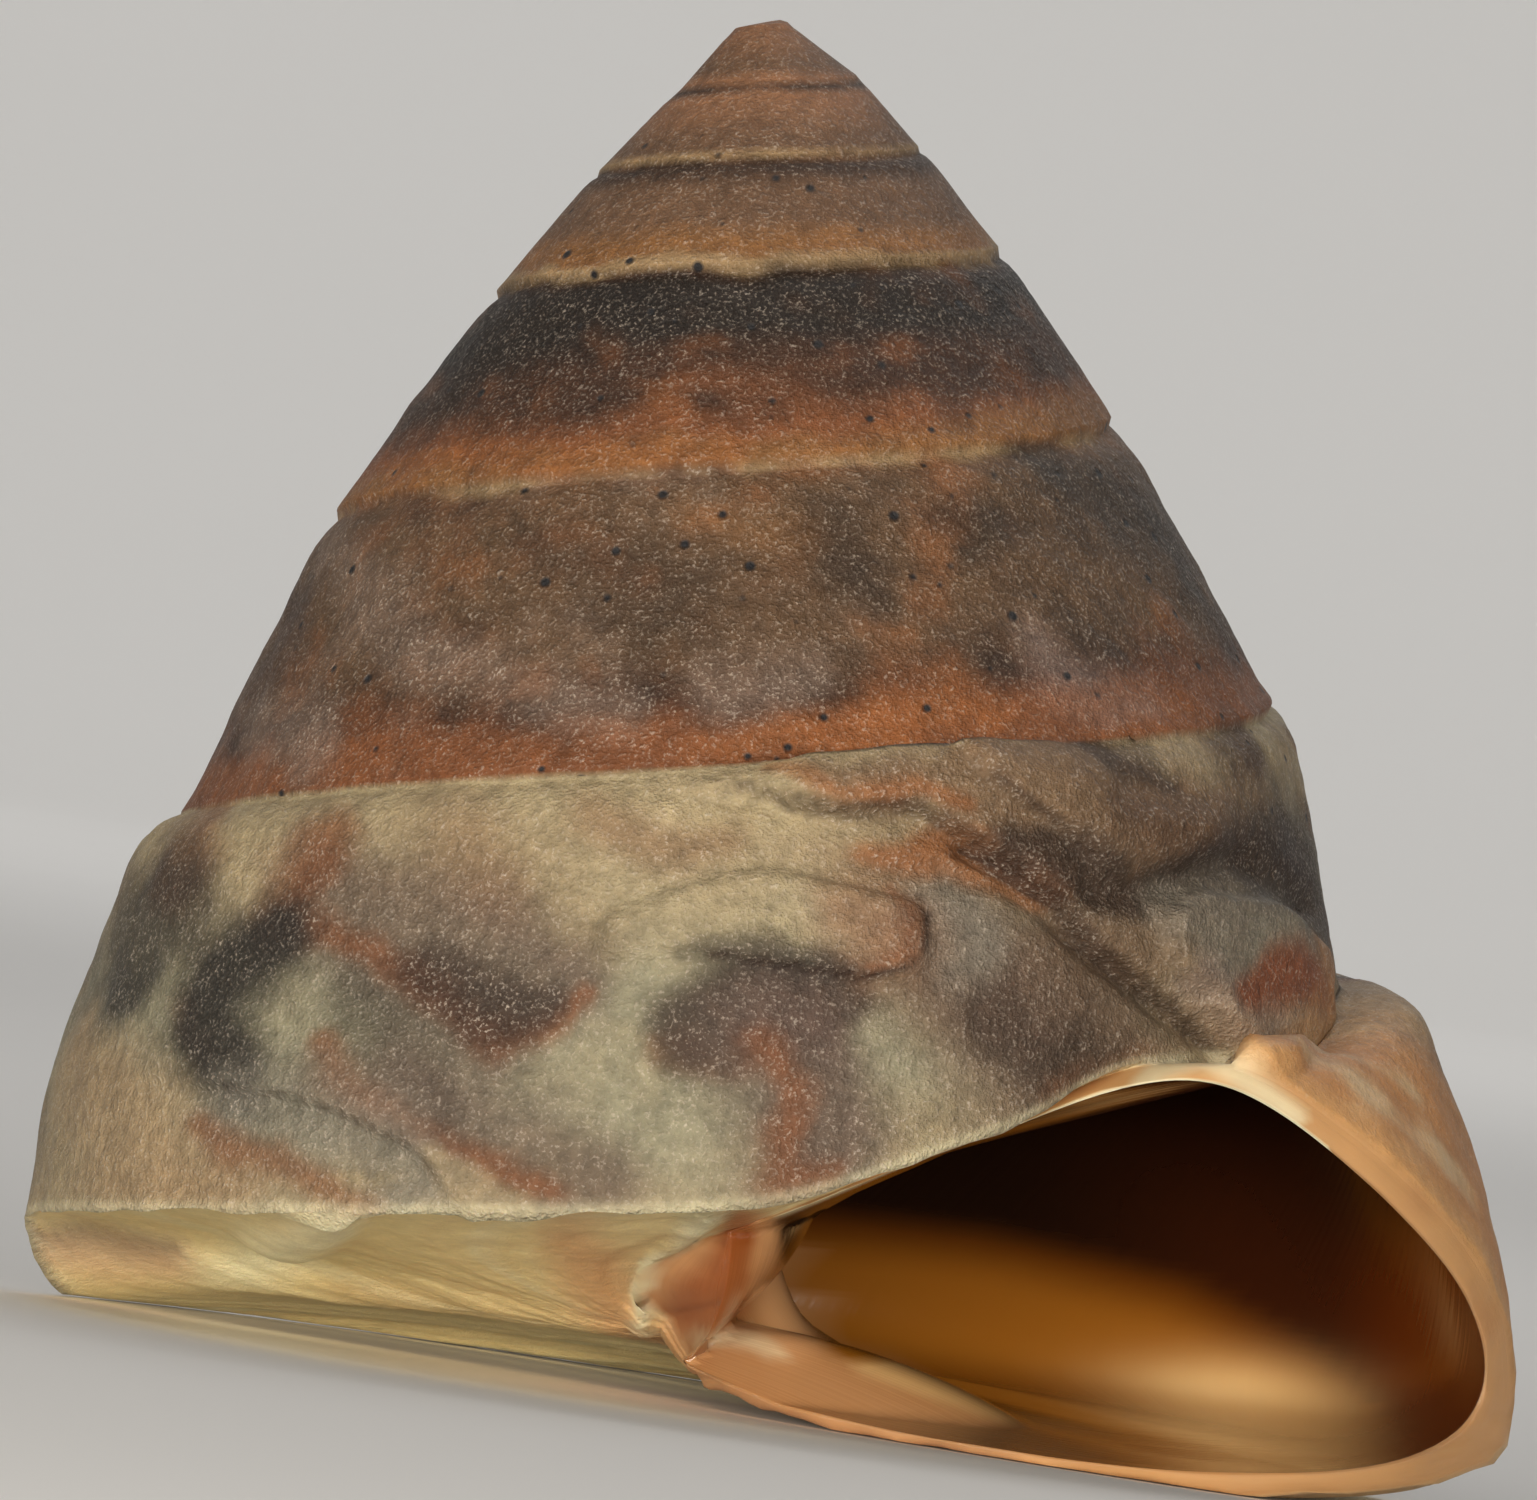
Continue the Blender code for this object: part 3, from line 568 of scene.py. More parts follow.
def pillar_row(growth):
    """The end of the columella, from the foot of the base to its middle."""
    turn = growth + base_lead(1.0)
    radius, drop = base_point(turn, 1.0)
    share = np.linspace(0, 1, PILLAR_ROWS)[1:]
    drops = drop + (BASE_CENTRE_DROP - drop) * np.sin(share * math.pi / 2)
    return in_space(radius * (1 - share), drops, turn + 0 * share)


def hollow_row(growth, a, b):
    """A loop inside the whorl: a runs from the columella to the wall and b from the ceiling to the floor."""

    def floor(a):
        return base_line(growth, 1 - a)

    def ceiling(a):
        return base_line(growth + LEAD_AT_SUTURE, 1 - a, whorl=-1)

    flare = np.zeros((3, len(a)))
    flare[0] = COLUMELLA_FLARE * size_at(growth)
    start, end = np.zeros_like(a), np.ones_like(a)
    post = ceiling(start) * (1 - b) + floor(start) * b + flare * b**3
    foot = floor(start) + flare
    up = ceiling(a) * (1 - b) + (floor(a) + flare * (1 - a) ** 2) * b
    across = post * (1 - a) + wall_line(growth, b) * a
    left = ceiling(start) * (1 - b) + foot * b
    right = ceiling(end) * (1 - b) + floor(end) * b
    return in_space(*(up + across - left * (1 - a) - right * a))


def rounded(a, b, depth):
    """Brings the unit square's edge in to a round-cornered loop that leaves the walls their thickness."""
    x, y = 2 * a - 1, 2 * b - 1
    scale = (np.abs(x) ** CORNER_POWER + np.abs(y) ** CORNER_POWER) ** (-1 / CORNER_POWER)
    wall = LIP_THICKNESS + (WALL_THICKNESS - LIP_THICKNESS) * depth
    ceiling = CEILING_EDGE + (CEILING_THICKNESS - CEILING_EDGE) * depth
    a_end = 1 - wall / WHORL_WIDTH
    b_start = ceiling / WHORL_HEIGHT
    b_end = 1 - FLOOR_THICKNESS / WHORL_HEIGHT
    a, b = a_end * (x * scale + 1) / 2, b_start + (b_end - b_start) * (y * scale + 1) / 2
    a, b = corner_filled(a, b, 0, SHIELD_REACH, 1 - SHIELD_FADE * depth)
    foot_share = 1 + FOOT_FULLNESS * math.sin(math.pi * depth) - FOOT_FADE * depth
    return corner_filled(a, b, 1, FOOT_REACH, foot_share)


def corner_filled(a, b, corner, reach, share):
    """Cuts off the loop's corner beside the columella, at the ceiling (corner 0) or the floor (corner 1)."""
    reach_a, reach_b = reach[0] * share, reach[1] * share
    cover = a / reach_a + np.abs(b - corner) / reach_b
    middle = 0.5 / reach_a + 0.5 / reach_b
    pull = np.maximum(1 - cover, 0) / (middle - np.minimum(cover, 1))
    return a + pull * (0.5 - a), b + pull * (0.5 - b)


class Sheet:
    """Points, faces and what each point belongs to, gathered row by row."""

    def __init__(self):
        self.points = []
        self.places = []
        self.faces = []
        self.count = 0

    def add(self, points, kind, growth, share, across=1.0):
        """One row of points, with its growth line and each point's shares; gives the row's point numbers."""
        places = np.stack(np.broadcast_arrays(kind, growth, share, across), axis=1).astype(float)
        self.points.append(points)
        self.places.append(places)
        self.count += len(points)
        return np.arange(self.count - len(points), self.count)

    def weave(self, rows):
        """Faces between each row and the next, which may have twice as many steps."""
        for one, two in zip(rows, rows[1:]):
            if len(one) == len(two):
                corners = [one[:-1], one[1:], two[1:], two[:-1]]
            else:
                corners = [one[:-1], one[1:], two[2::2], two[1::2], two[:-2:2]]
            self.faces.extend(np.stack(corners, axis=1).tolist())

    def joined(self):
        """Points, places and faces, with points that coincide made one."""
        points = np.concatenate(self.points)
        places = np.concatenate(self.places)
        points[np.linalg.norm(points, axis=1) < TIP_RADIUS] = 0
        _, first, where = np.unique(points.round(4), axis=0, return_index=True, return_inverse=True)
        order = np.argsort(first)
        rank = np.empty(len(order), int)
        rank[order] = np.arange(len(order))
        where = rank[where.reshape(-1)].tolist()
        faces = []
        for face in self.faces:
            corners = list(dict.fromkeys(where[i] for i in face))
            if len(corners) > 2:
                faces.append(corners)
        return points[first[order]], places[first[order]], faces


def rows_at(growth):
    return [rows for start, rows in ROWS_FROM if growth >= start - 1e-6][-1]


def wall_shares(rows):
    """Shares of the wall's height, closer together at the suture."""
    even = np.linspace(0, 1, rows + 1)
    return even - SUTURE_CROWDING * np.sin(2 * math.pi * even) / math.pi


def growth_lines(start):
    return np.linspace(start, 0, round(-start * STEPS_PER_TURN) + 1)


def outside(sheet):
    """The wall of every whorl, then the part of the base that no later whorl covers."""
    rows = []
    for growth in growth_lines(ROWS_FROM[0][0]):
        down = wall_shares(rows_at(growth))
        rows.append(sheet.add(in_space(*wall_line(growth, down)), WALL, growth, down))
    sheet.weave(rows)
    inward = np.linspace(0, 1, BASE_ROWS + 1)
    to_middle = np.linspace(0, 1, PILLAR_ROWS)[1:]
    rows = []
    for growth in growth_lines(FREE_BASE_FROM):
        base = sheet.add(in_space(*base_line(growth, inward)), BASE, growth, inward)
        pillar = sheet.add(pillar_row(growth), PILLAR, growth, to_middle)
        rows.append(np.concatenate([base, pillar]))
    sheet.weave(rows)


def mouth():
    """The edge of the mouth on the outside, and each point's place on the unit square of the hollow."""
    down = wall_shares(ROWS_FROM[-1][1])
    inward = np.linspace(0, 1, BASE_ROWS + 1)
    back = inward[::-1]
    low = np.linspace(1, 0.5, PILLAR_ROWS)[1:]
    high = np.linspace(0.5, 0, PILLAR_ROWS)[1:-1]
    sides = (
        (1 + 0 * down, down, in_space(*wall_line(0.0, down))),
        (1 - inward[1:], 1 + 0 * inward[1:], in_space(*base_line(0.0, inward))[1:]),
        (0 * low, low, pillar_row(0.0)),
        (0 * high, high, pillar_row(FREE_BASE_FROM)[-2::-1]),
        (1 - back, 0 * back, in_space(*base_line(FREE_BASE_FROM, back))),
    )
    return [np.concatenate([side[i] for side in sides]) for i in range(3)]


def inside(sheet):
    """The lip's edge, rolled in to the hollow, and the hollow back to where the light ends."""
    a, b, edge = mouth()
    growths = -CAVITY_TURNS * np.linspace(0, 1, HOLLOW_STEPS + 1) ** DEPTH_BEND
    hollow = []
    for growth in growths:
        loop = rounded(a, b, min(1, -growth / FULL_THICKNESS_TURNS))
        hollow.append(hollow_row(growth, *loop))
    forward = hollow_row(LIP_AHEAD, *rounded(a, b, 0)) - hollow[0]
    forward = forward / np.linalg.norm(forward, axis=1, keepdims=True)
    forward = forward * (LIP_ROUNDING * np.maximum(a, b) ** 2)[:, None]
    rows = []
    for share in np.linspace(0, 1, LIP_ROWS + 1)[:-1]:
        points = edge * (1 - share) + hollow[0] * share + forward * math.sin(math.pi * share)
        rows.append(sheet.add(points, RIM, share, b, a))
    for growth, points in zip(growths, hollow):
        rows.append(sheet.add(points, HOLLOW, growth, b, a))
    end = np.repeat(hollow[-1].mean(axis=0)[None], len(a), axis=0)
    rows.append(sheet.add(end, HOLLOW, -CAVITY_TURNS, b, a))
    sheet.weave(rows)


def smoothstep(low, high, value):
    share = np.clip((value - low) / (high - low), 0, 1)
    return share * share * (3 - 2 * share)


def bell(distance, width):
    """1 where the distance is nothing, falling away over the width."""
    return np.exp(-((distance / width) ** 2))


def lattice(cells, seed):
    """A repeatable random number from -1 to 1 for each whole-number cell."""
    mixed = cells @ np.array(SCRAMBLE) + seed * SEED_SCRAMBLE
    return 2 * np.modf(np.abs(np.sin(mixed) * SCRAMBLE_SCALE))[0] - 1


def noise(points, size, seed):
    """Smooth noise from -1 to 1 with bumps of the given size."""
    scaled = points / size + seed * SEED_SHIFT
    cell = np.floor(scaled)
    share = scaled - cell
    share = share * share * (3 - 2 * share)
    total = np.zeros(len(points))
    for corner in np.ndindex(2, 2, 2):
        offset = np.array(corner)
        weight = np.prod(np.where(offset, share, 1 - share), axis=1)
        total += weight * lattice(cell + offset, seed)
    return total


def lumps(points, layers):
    """Layers of smooth noise, each with its strength, size and seed."""
    return sum(strength * noise(points, size, seed) for strength, size, seed in layers)


def lines(along, layers):
    """Layers of smooth noise along a line, each with its strength, how many bumps to a unit, and seed."""
    total = 0
    for strength, count, seed in layers:
        steps = along * count
        total = total + strength * noise(np.stack([steps, 0 * steps, 0 * steps], axis=1), 1.0, seed)
    return total


def path_distance(u, v, path):
    """For each place: how far the nearest point of the path is, on which side, and the path's width there."""
    path = np.array(path, float)
    nearest = np.full(u.shape, np.inf)
    side = np.zeros(u.shape)
    width = np.ones(u.shape)
    for start, end in zip(path, path[1:]):
        du, dv = end[:2] - start[:2]
        share = np.clip(((u - start[0]) * du + (v - start[1]) * dv) / (du * du + dv * dv), 0, 1)
        gap_u, gap_v = u - start[0] - share * du, v - start[1] - share * dv
        gap = np.hypot(gap_u, gap_v)
        here = gap < nearest
        nearest = np.where(here, gap, nearest)
        side = np.where(here, np.sign(du * gap_v - dv * gap_u), side)
        if len(start) > 2:
            width = np.where(here, start[2] + share * (end[2] - start[2]), width)
    return nearest, side, width


def stroke(u, v, path, softness):
    """How strongly a stroke along the path covers each place."""
    gap, _, width = path_distance(u, v, path)
    return 1 - smoothstep(1 - softness, 1 + softness, gap / width)


def linear(name):
    """A named colour as the light that it reflects."""
    value = np.array(COLOURS[name]) / 255
    value = np.where(value <= 0.04045, value / 12.92, ((value + 0.055) / 1.055) ** 2.4)
    return np.clip(value, 0, BRIGHTEST)


def lay(colours, name, mask):
    """Lays a named colour over the others where the mask says."""
    mask = np.clip(mask, 0, 1)[:, None]
    return colours * (1 - mask) + linear(name) * mask


def clouded(colours, clouds):
    """Lays on colours in turn: each with its strength, and the value where it starts and where it is full."""
    for name, strength, start, full, value in clouds:
        colours = lay(colours, name, strength * smoothstep(start, full, value))
    return colours


class Places:
    """Everything the relief and the colours ask about each point."""

    def __init__(self, points, places):
        self.points = points
        kind, self.growth, self.share, self.across = places.T
        x, y, z = points.T
        turn = math.radians(MARKS_TURN)
        self.u = x * math.cos(turn) + z * math.sin(turn)
        self.v = x * math.sin(turn) - z * math.cos(turn)
        self.facing = smoothstep(*FRONT, -y / np.maximum(np.hypot(x, y), NEAR_AXIS))
        self.wall = (kind == WALL).astype(float)
        self.base = np.isin(kind, (BASE, PILLAR)).astype(float)
        self.rim = (kind == RIM).astype(float)
        self.hollow = (kind == HOLLOW).astype(float)
        self.turn = self.growth + self.wall * wall_lead(np.clip(self.share, 0, 1))
        self.waver_u = lumps(points, MARK_WAVER_U)
        self.waver_v = lumps(points, MARK_WAVER_V)

    def plain(self, name):
        """One named colour for every point."""
        return np.repeat(linear(name)[None], len(self.points), axis=0)

    def mark(self, path, softness, raggedness=1.0):
        """How strongly a mark of the front covers each point, with its edges pushed about."""
        return stroke(self.u + raggedness * self.waver_u, self.v + raggedness * self.waver_v, path, softness)

    def covered(self, path, softness):
        """How strongly a clean-edged mark of the front covers each point."""
        return stroke(self.u, self.v, path, softness)

    def beside(self, path):
        """How far each point is from a path on the front."""
        return path_distance(self.u, self.v, path)[0]

    def beyond(self, path):
        """How far each point lies on the right of a path on the front; less than nothing on its left."""
        gap, side, _ = path_distance(self.u, self.v, path)
        return side * gap


def ledge_height(at, height, reach, path):
    """A sharp step down across the path that dies away from it on both sides."""
    gap, side, _ = path_distance(at.u + lumps(at.points, LEDGE_WAVER), at.v, path)
    step = np.clip(-side * gap / LEDGE_WIDTH, -1, 1)
    return height * step * np.exp(-gap / reach)


def front_relief(at):
    """Folds, ledges and lobes of mended breaks on the front of the wall."""
    height = np.zeros(len(at.points))
    for rise, reach, *path in LEDGES:
        height += ledge_height(at, rise, reach, path)
    for depth, width, *path in GROOVES:
        height -= depth * bell(at.beside(path), width)
    for rise, width, *path in SWELLS:
        height += rise * bell(at.beside(path), width)
    u = at.u + lumps(at.points, LOBE_WAVER_U)
    v = at.v + lumps(at.points, LOBE_WAVER_V)
    height += TONGUE_HEIGHT * stroke(u, v, TONGUE, TONGUE_SOFTNESS)
    height += LOBE_HEIGHT * stroke(u, v, LOBE, LOBE_SOFTNESS)
    return height * at.facing * (at.growth > FRONT_RELIEF_FROM)


def wall_relief(at):
    """Growth lines, low lumps, the ledge above each suture, the keel's beads and the sutures' waves."""
    above, below = bell(1 - at.share, LEDGE_ABOVE), bell(at.share, LEDGE_BELOW)
    growth = lines(at.growth, WALL_LINES) * (at.turn > LINES_FROM)
    beads = lines(at.growth, KEEL_BEADS) * (at.growth > KEEL_FREE_FROM)
    waves = lines(at.growth, SUTURE_WAVES) * (at.growth > WAVES_FROM) * (at.growth < KEEL_FREE_FROM)
    height = lumps(at.points, WALL_LUMPS) + growth + SUTURE_LEDGE * (above - below)
    return (height + (beads + waves) * bell(1 - at.share, BEAD_WIDTH)) * size_at(at.turn)


def base_relief(at):
    """Wrinkles along the growth lines, the thick ridge and the raised edge of the columella's shield."""
    wrinkles = lines(at.growth, BASE_WRINKLES) * smoothstep(0, WRINKLES_FADE, at.share)
    ridge = BASE_RIDGE_HEIGHT * at.covered(BASE_RIDGE, RIDGE_SOFTNESS) * at.facing
    shield = SHIELD_EDGE_HEIGHT * at.covered(SHIELD_EDGE, RIDGE_SOFTNESS) * (at.points[:, 1] < SHIELD_BACK)
    scallops = lines(at.share, SCALLOPS) * np.exp(at.growth / LIP_EDGE)
    return wrinkles + lumps(at.points, BASE_LUMPS) + ridge + shield + scallops


def rim_relief(at):
    """Low lumps, and scallops along the lip's lower edge. The growth counts from 0 outside to 1 inside."""
    scallops = lines(1 - at.across, SCALLOPS) * (at.share > LOWER_LIP) * (1 - at.growth)
    return lumps(at.points, RIM_LUMPS) + scallops


def relief(at):
    """How far each point stands out from the plain spiral, in millimetres."""
    height = at.wall * (wall_relief(at) + front_relief(at))
    height += at.base * base_relief(at)
    height += at.rim * rim_relief(at)
    height += at.hollow * lumps(at.points, HOLLOW_LUMPS)
    return height


def banded(at):
    """The spire's bands, turning from each whorl's into the next one's round the back."""
    colours = np.zeros((len(at.points), 3))
    total = np.zeros(len(at.points))
    down = at.share + lumps(at.points, BAND_WAVER)
    for front, stops in SPIRE_BANDS.items():
        shares = [share for share, _ in stops]
        palette = np.array([linear(name) for _, name in stops])
        weight = 1 - smoothstep(*BAND_BLEND, np.abs(at.turn - front)) + 1e-6
        band = np.stack([np.interp(down, shares, palette[:, i]) for i in range(3)], axis=1)
        colours += band * weight[:, None]
        total += weight
    return colours / total[:, None]


def wall_colours(at):
    """The bands, clouded with rust, frost and charcoal above and with pale lime on the last whorl."""
    older = at.turn < OLDER_UP_TO
    late = older * smoothstep(*LATE_FROM, at.turn)
    middle = older * (at.turn > BLOTCHES_FROM)
    mottle = lumps(at.points, MOTTLE)
    blotch = lumps(at.points, BLOTCH)
    clouds = (
        ("rust", 0.35 * late, 0.1, 0.9, mottle),
        ("frost", 0.30 * late, 0.2, 1.0, -mottle),
        ("charcoal band", 0.45 * middle, 0.1, 1.0, blotch),
        ("orange", 0.35 * middle, 0.2, 1.1, -blotch),
        ("pale", 0.35 * (at.turn > LAST_WHORL), 0.1, 0.9, mottle),
    )
    return side_flames(at, clouded(banded(at), clouds))


def side_flames(at, colours):
    """Slanting flames on the part of the last two whorls that faces away from the front."""
    phase = at.growth * FLAMES_PER_TURN + at.share * FLAME_SLANT + lumps(at.points, FLAME_WAVER)
    before_lip = 1 - smoothstep(-2.2 * PLAIN_LIP, -PLAIN_LIP, at.growth)
    whole = 0.5 + 0.5 * smoothstep(-0.5, 0.3, lumps(at.points, FLAME_GAPS))
    last = (1 - at.facing) * whole * smoothstep(*LAST_FLAMES_FROM, at.growth) * before_lip
    ends = 1 - smoothstep(*PATCHES_TO, at.growth)
    earlier = (1 - at.facing) * smoothstep(*PATCHES_FROM, at.growth) * ends
    clouds = (
        ("rust", 0.80 * last, 0.1, 0.7, np.cos(2 * math.pi * (phase - RUST_TRAIL))),
        ("dark", 0.85 * last, 0.25, 0.8, np.cos(2 * math.pi * phase)),
        ("charcoal band", 0.60 * earlier, 0.1, 0.8, lumps(at.points, DARK_PATCHES)),
    )
    return clouded(colours, clouds)


def front_colours(at, colours):
    """Marks of this one shell's front."""
    right_side = at.points[:, 0] > RIGHT_SIDE
    last = (at.growth >= LAST_WHORL) | (right_side & (at.growth >= LAST_ON_RIGHT))
    front = at.facing * at.wall
    for name, strength, *path in SPIRE_MARKS:
        colours = lay(colours, name, strength * front * ~last * at.mark(path, MARK_SOFTNESS))
    for name, strength, softness, *path in FLAMES:
        spread = FLAME_SPREAD.get(name, OTHER_SPREAD)
        broad = [(u, v, width * spread) for u, v, width in path]
        colours = lay(colours, name, strength * front * last * at.mark(broad, softness, FLAME_RAGGEDNESS))
    for strength, *path in SEAMS:
        colours = lay(colours, "seam", strength * front * at.covered(path, SEAM_SOFTNESS))
    return colours


def lip_colours(at, colours):
    """The plain last stretch of the wall, and the pale edge of the keel."""
    fresh = at.wall * smoothstep(-2 * PLAIN_LIP, -PLAIN_LIP, at.growth)
    streaks = lines(at.growth, LIP_STREAKS) + lumps(at.points, LIP_CLOUDS)
    clouds = (
        ("lip", at.wall, -2 * PLAIN_LIP, -PLAIN_LIP, at.growth),
        ("base white", 0.30 * fresh, 0.1, 1.1, streaks),
        ("redbrown", 0.22 * fresh, 0.2, 1.2, -streaks),
        ("lip edge", at.wall, -LIP_EDGE, 0.0, at.growth),
    )
    worn = at.wall * (at.growth > KEEL_FREE_FROM) * bell(1 - at.share, WORN_EDGE)
    return lay(clouded(colours, clouds), "base white", 0.35 * worn)


def base_colours(at):
    """Cream, partly painted light that brightens the downward-facing base, streaked along the growth lines,
    with the marks of the front.
    """
    streaks = lines(at.growth, BASE_STREAKS)
    clouds = (
        ("base brown", 0.28, 0.0, 1.2, streaks),
        ("base white", 0.40, 0.1, 1.2, -streaks),
        ("base brown", 0.15, 0.2, 1.0, lumps(at.points, BASE_CLOUDS)),
        ("lip", 0.70, -0.10, 0.0, at.growth),
    )
    return shield_colours(at, clouded(at.plain("base"), clouds))


def shield_colours(at, colours):
    """The marks of the base's front and of the shield that the columella spreads beside the mouth."""
    front = smoothstep(*SHIELD_FRONT, -at.points[:, 1])
    for name, strength, softness, *path in BASE_MARKS:
        colours = lay(colours, name, strength * front * at.mark(path, softness, BASE_RAGGEDNESS))
    return colours


def mouth_colours(at):
    """Dark above, amber on the floor, as the light finds them from the front: painted shade over the mouth's
    own dark brown above the shade line.
    """
    # Above the shade line the mouth is its own dark brown with painted shade; below the line the floor is
    # amber
    left_of_line = at.u < SHADE_LINE[0][0]
    below = np.where(left_of_line, at.v - SHADE_LINE[0][1], at.beyond(SHADE_LINE))
    floor = smoothstep(0.5, 0.75, at.share)
    # Painted light: the floor just inside the lip lies in shade and is laid pale, as if lit through the thin
    # shell
    front_floor_glow = smoothstep(-0.20, -0.04, at.growth) * smoothstep(0.88, 0.99, at.share)
    clouds = (
        ("mouth brown", smoothstep(3, 7, at.u), -3.5, -0.6, below),
        ("deep orange", floor, -0.2, 0.3, below),
        ("amber", floor * (1 - smoothstep(6.5, 9.0, at.u)), 0.1, 0.9, below),
        ("mouth rust", smoothstep(7.5, 9.0, at.u), 16.0, 17.5, at.v),
    )
    # A painted glow: a pale spot on the floor where light shines through the thin shell
    painted_glow = bell(at.u - PAINTED_GLOW_SPOT[0], PAINTED_GLOW_SPOT_SIZE[0]) * bell(at.v - PAINTED_GLOW_SPOT[1], PAINTED_GLOW_SPOT_SIZE[1])
    colours = lay(clouded(at.plain("mouth dark"), clouds), "floor pale glow", 0.9 * painted_glow)
    colours = lay(colours, "floor pale glow", 0.85 * front_floor_glow * (1 - smoothstep(7.0, 8.8, at.u)))
    return mouth_edge_colours(at, colours)


def mouth_edge_colours(at, colours):
    """The peach edge of the hollow, white at the ceiling, and the shield round the mouth's inner side."""
    edge = smoothstep(-LIP_EDGE, -0.1 * LIP_EDGE, at.growth)
    colours = lay(colours, "peach", edge)
    colours = lay(colours, "base white", edge * (at.share < 0.3))
    near_lip = smoothstep(-0.45, -0.35, at.growth)
    outer = near_lip * smoothstep(-0.12, 0.05, at.beyond(MOUTH_CORNER))
    colours = lay(colours, "lip", outer)
    return np.where(outer[:, None] > 0, shield_colours(at, colours), colours)


def rim_colours(at):
    """Peach round the lip, and the shield beside the columella."""
    clouds = smoothstep(-0.2, 0.8, lumps(at.points, RIM_CLOUDS))
    colours = lay(at.plain("lip edge"), "lip", 0.6 * clouds)
    beside = 1 - smoothstep(0.45, 0.6, at.across)
    colours = lay(colours, "shield pale", beside)
    return np.where(beside[:, None] > 0, shield_colours(at, colours), colours)


def tints(at):
    """Each point's colour, with a painted highlight along the lip's upper edge."""
    colours = front_colours(at, wall_colours(at))
    colours = lip_colours(at, colours)
    for kinds, paint in ((at.base, base_colours), (at.rim, rim_colours), (at.hollow, mouth_colours)):
        colours = np.where(kinds[:, None] > 0, paint(at), colours)
    # A painted highlight: white laid along the lip's upper edge
    near_lip = np.maximum(at.rim + at.base, smoothstep(-0.06, -0.02, at.growth))
    return lay(colours, "base white", 0.55 * near_lip * at.facing * at.covered(RIM_HIGHLIGHT, RIDGE_SOFTNESS))


def frosting(at):
    """Where the grain is frosted over: the frosty marks of the spire, and patches of the last whorl."""
    last = at.growth > LAST_WHORL
    frosted = 0.35 * last * smoothstep(-0.4, 0.6, lumps(at.points, SUGAR_PATCHES))
    for name, strength, *path in SPIRE_MARKS:
        if name == "frost":
            earlier = at.growth < LAST_WHORL
            frosted = frosted + strength * at.facing * earlier * at.mark(path, MARK_SOFTNESS)
    return np.clip(frosted, 0, 1)


def triangles_of(faces):
    """The faces as triangles, for sums over them."""
    triangles = []
    for face in faces:
        triangles.extend((face[0], face[i], face[i + 1]) for i in range(1, len(face) - 1))
    return np.array(triangles)


def inside_out(points, triangles):
    one, two, three = (points[triangles[:, i]] for i in range(3))
    return np.einsum("ij,ij->", one, np.cross(two, three)) < 0


def point_normals(points, triangles):
    one, two, three = (points[triangles[:, i]] for i in range(3))
    across = np.cross(two - one, three - one)
    normals = np.zeros_like(points)
    for i in range(3):
        np.add.at(normals, triangles[:, i], across)
    if inside_out(points, triangles):
        normals = -normals
    return normals / np.maximum(np.linalg.norm(normals, axis=1, keepdims=True), 1e-12)


def leaned(points):
    """The shell tips towards -X, until it stands on the back of its keel and on its lip."""
    lean = math.radians(LEAN)
    x, y, z = points.T
    across = x * math.cos(lean) - z * math.sin(lean)
    return np.stack([across, y, z * math.cos(lean) + x * math.sin(lean)], axis=1)


def stood(points, moved):
    """Puts the leaned shell where the solid is and keeps it within the solid's box."""
    low, high = (np.array(corner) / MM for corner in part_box("shell"))
    middle = (points.min(axis=0) + points.max(axis=0)) / 2
    middle[2] = points[:, 2].min() + WEAR
    target = (low + high) / 2
    target[2] = low[2]
    return np.clip(moved + target - middle, low, high)


def shell_mesh():
    """The grown sheet with its relief, and the colours and finish of each point stored on it."""
    sheet = Sheet()
    outside(sheet)
    inside(sheet)
    points, places, faces = sheet.joined()
    triangles = triangles_of(faces)
    at = Places(points, places)
    moved = points + point_normals(points, triangles) * relief(at)[:, None]
    solid = stood(leaned(points), leaned(moved))
    mesh = bpy.data.meshes.new("shell_relief")
    mesh.from_pydata((solid * MM).tolist(), [], faces)
    if inside_out(solid, triangles):
        mesh.flip_normals()
    colours = np.concatenate([tints(at), frosting(at)[:, None]], axis=1)
    mesh.attributes.new("tint", "FLOAT_COLOR", "POINT").data.foreach_set("color", colours.ravel())
    near_lip = smoothstep(-2 * PLAIN_LIP, 0, at.growth)
    store(mesh, "growth", at.growth)
    store(mesh, "grain", at.wall * (1 - LIP_SMOOTHNESS * near_lip) + BASE_GRAIN * at.base)
    store(mesh, "wet", at.hollow + RIM_WETNESS * at.rim + BASE_WETNESS * at.base)
    mesh.shade_smooth()
    return mesh


def store(mesh, name, values):
    mesh.attributes.new(name, "FLOAT", "POINT").data.foreach_set("value", values.astype(float))


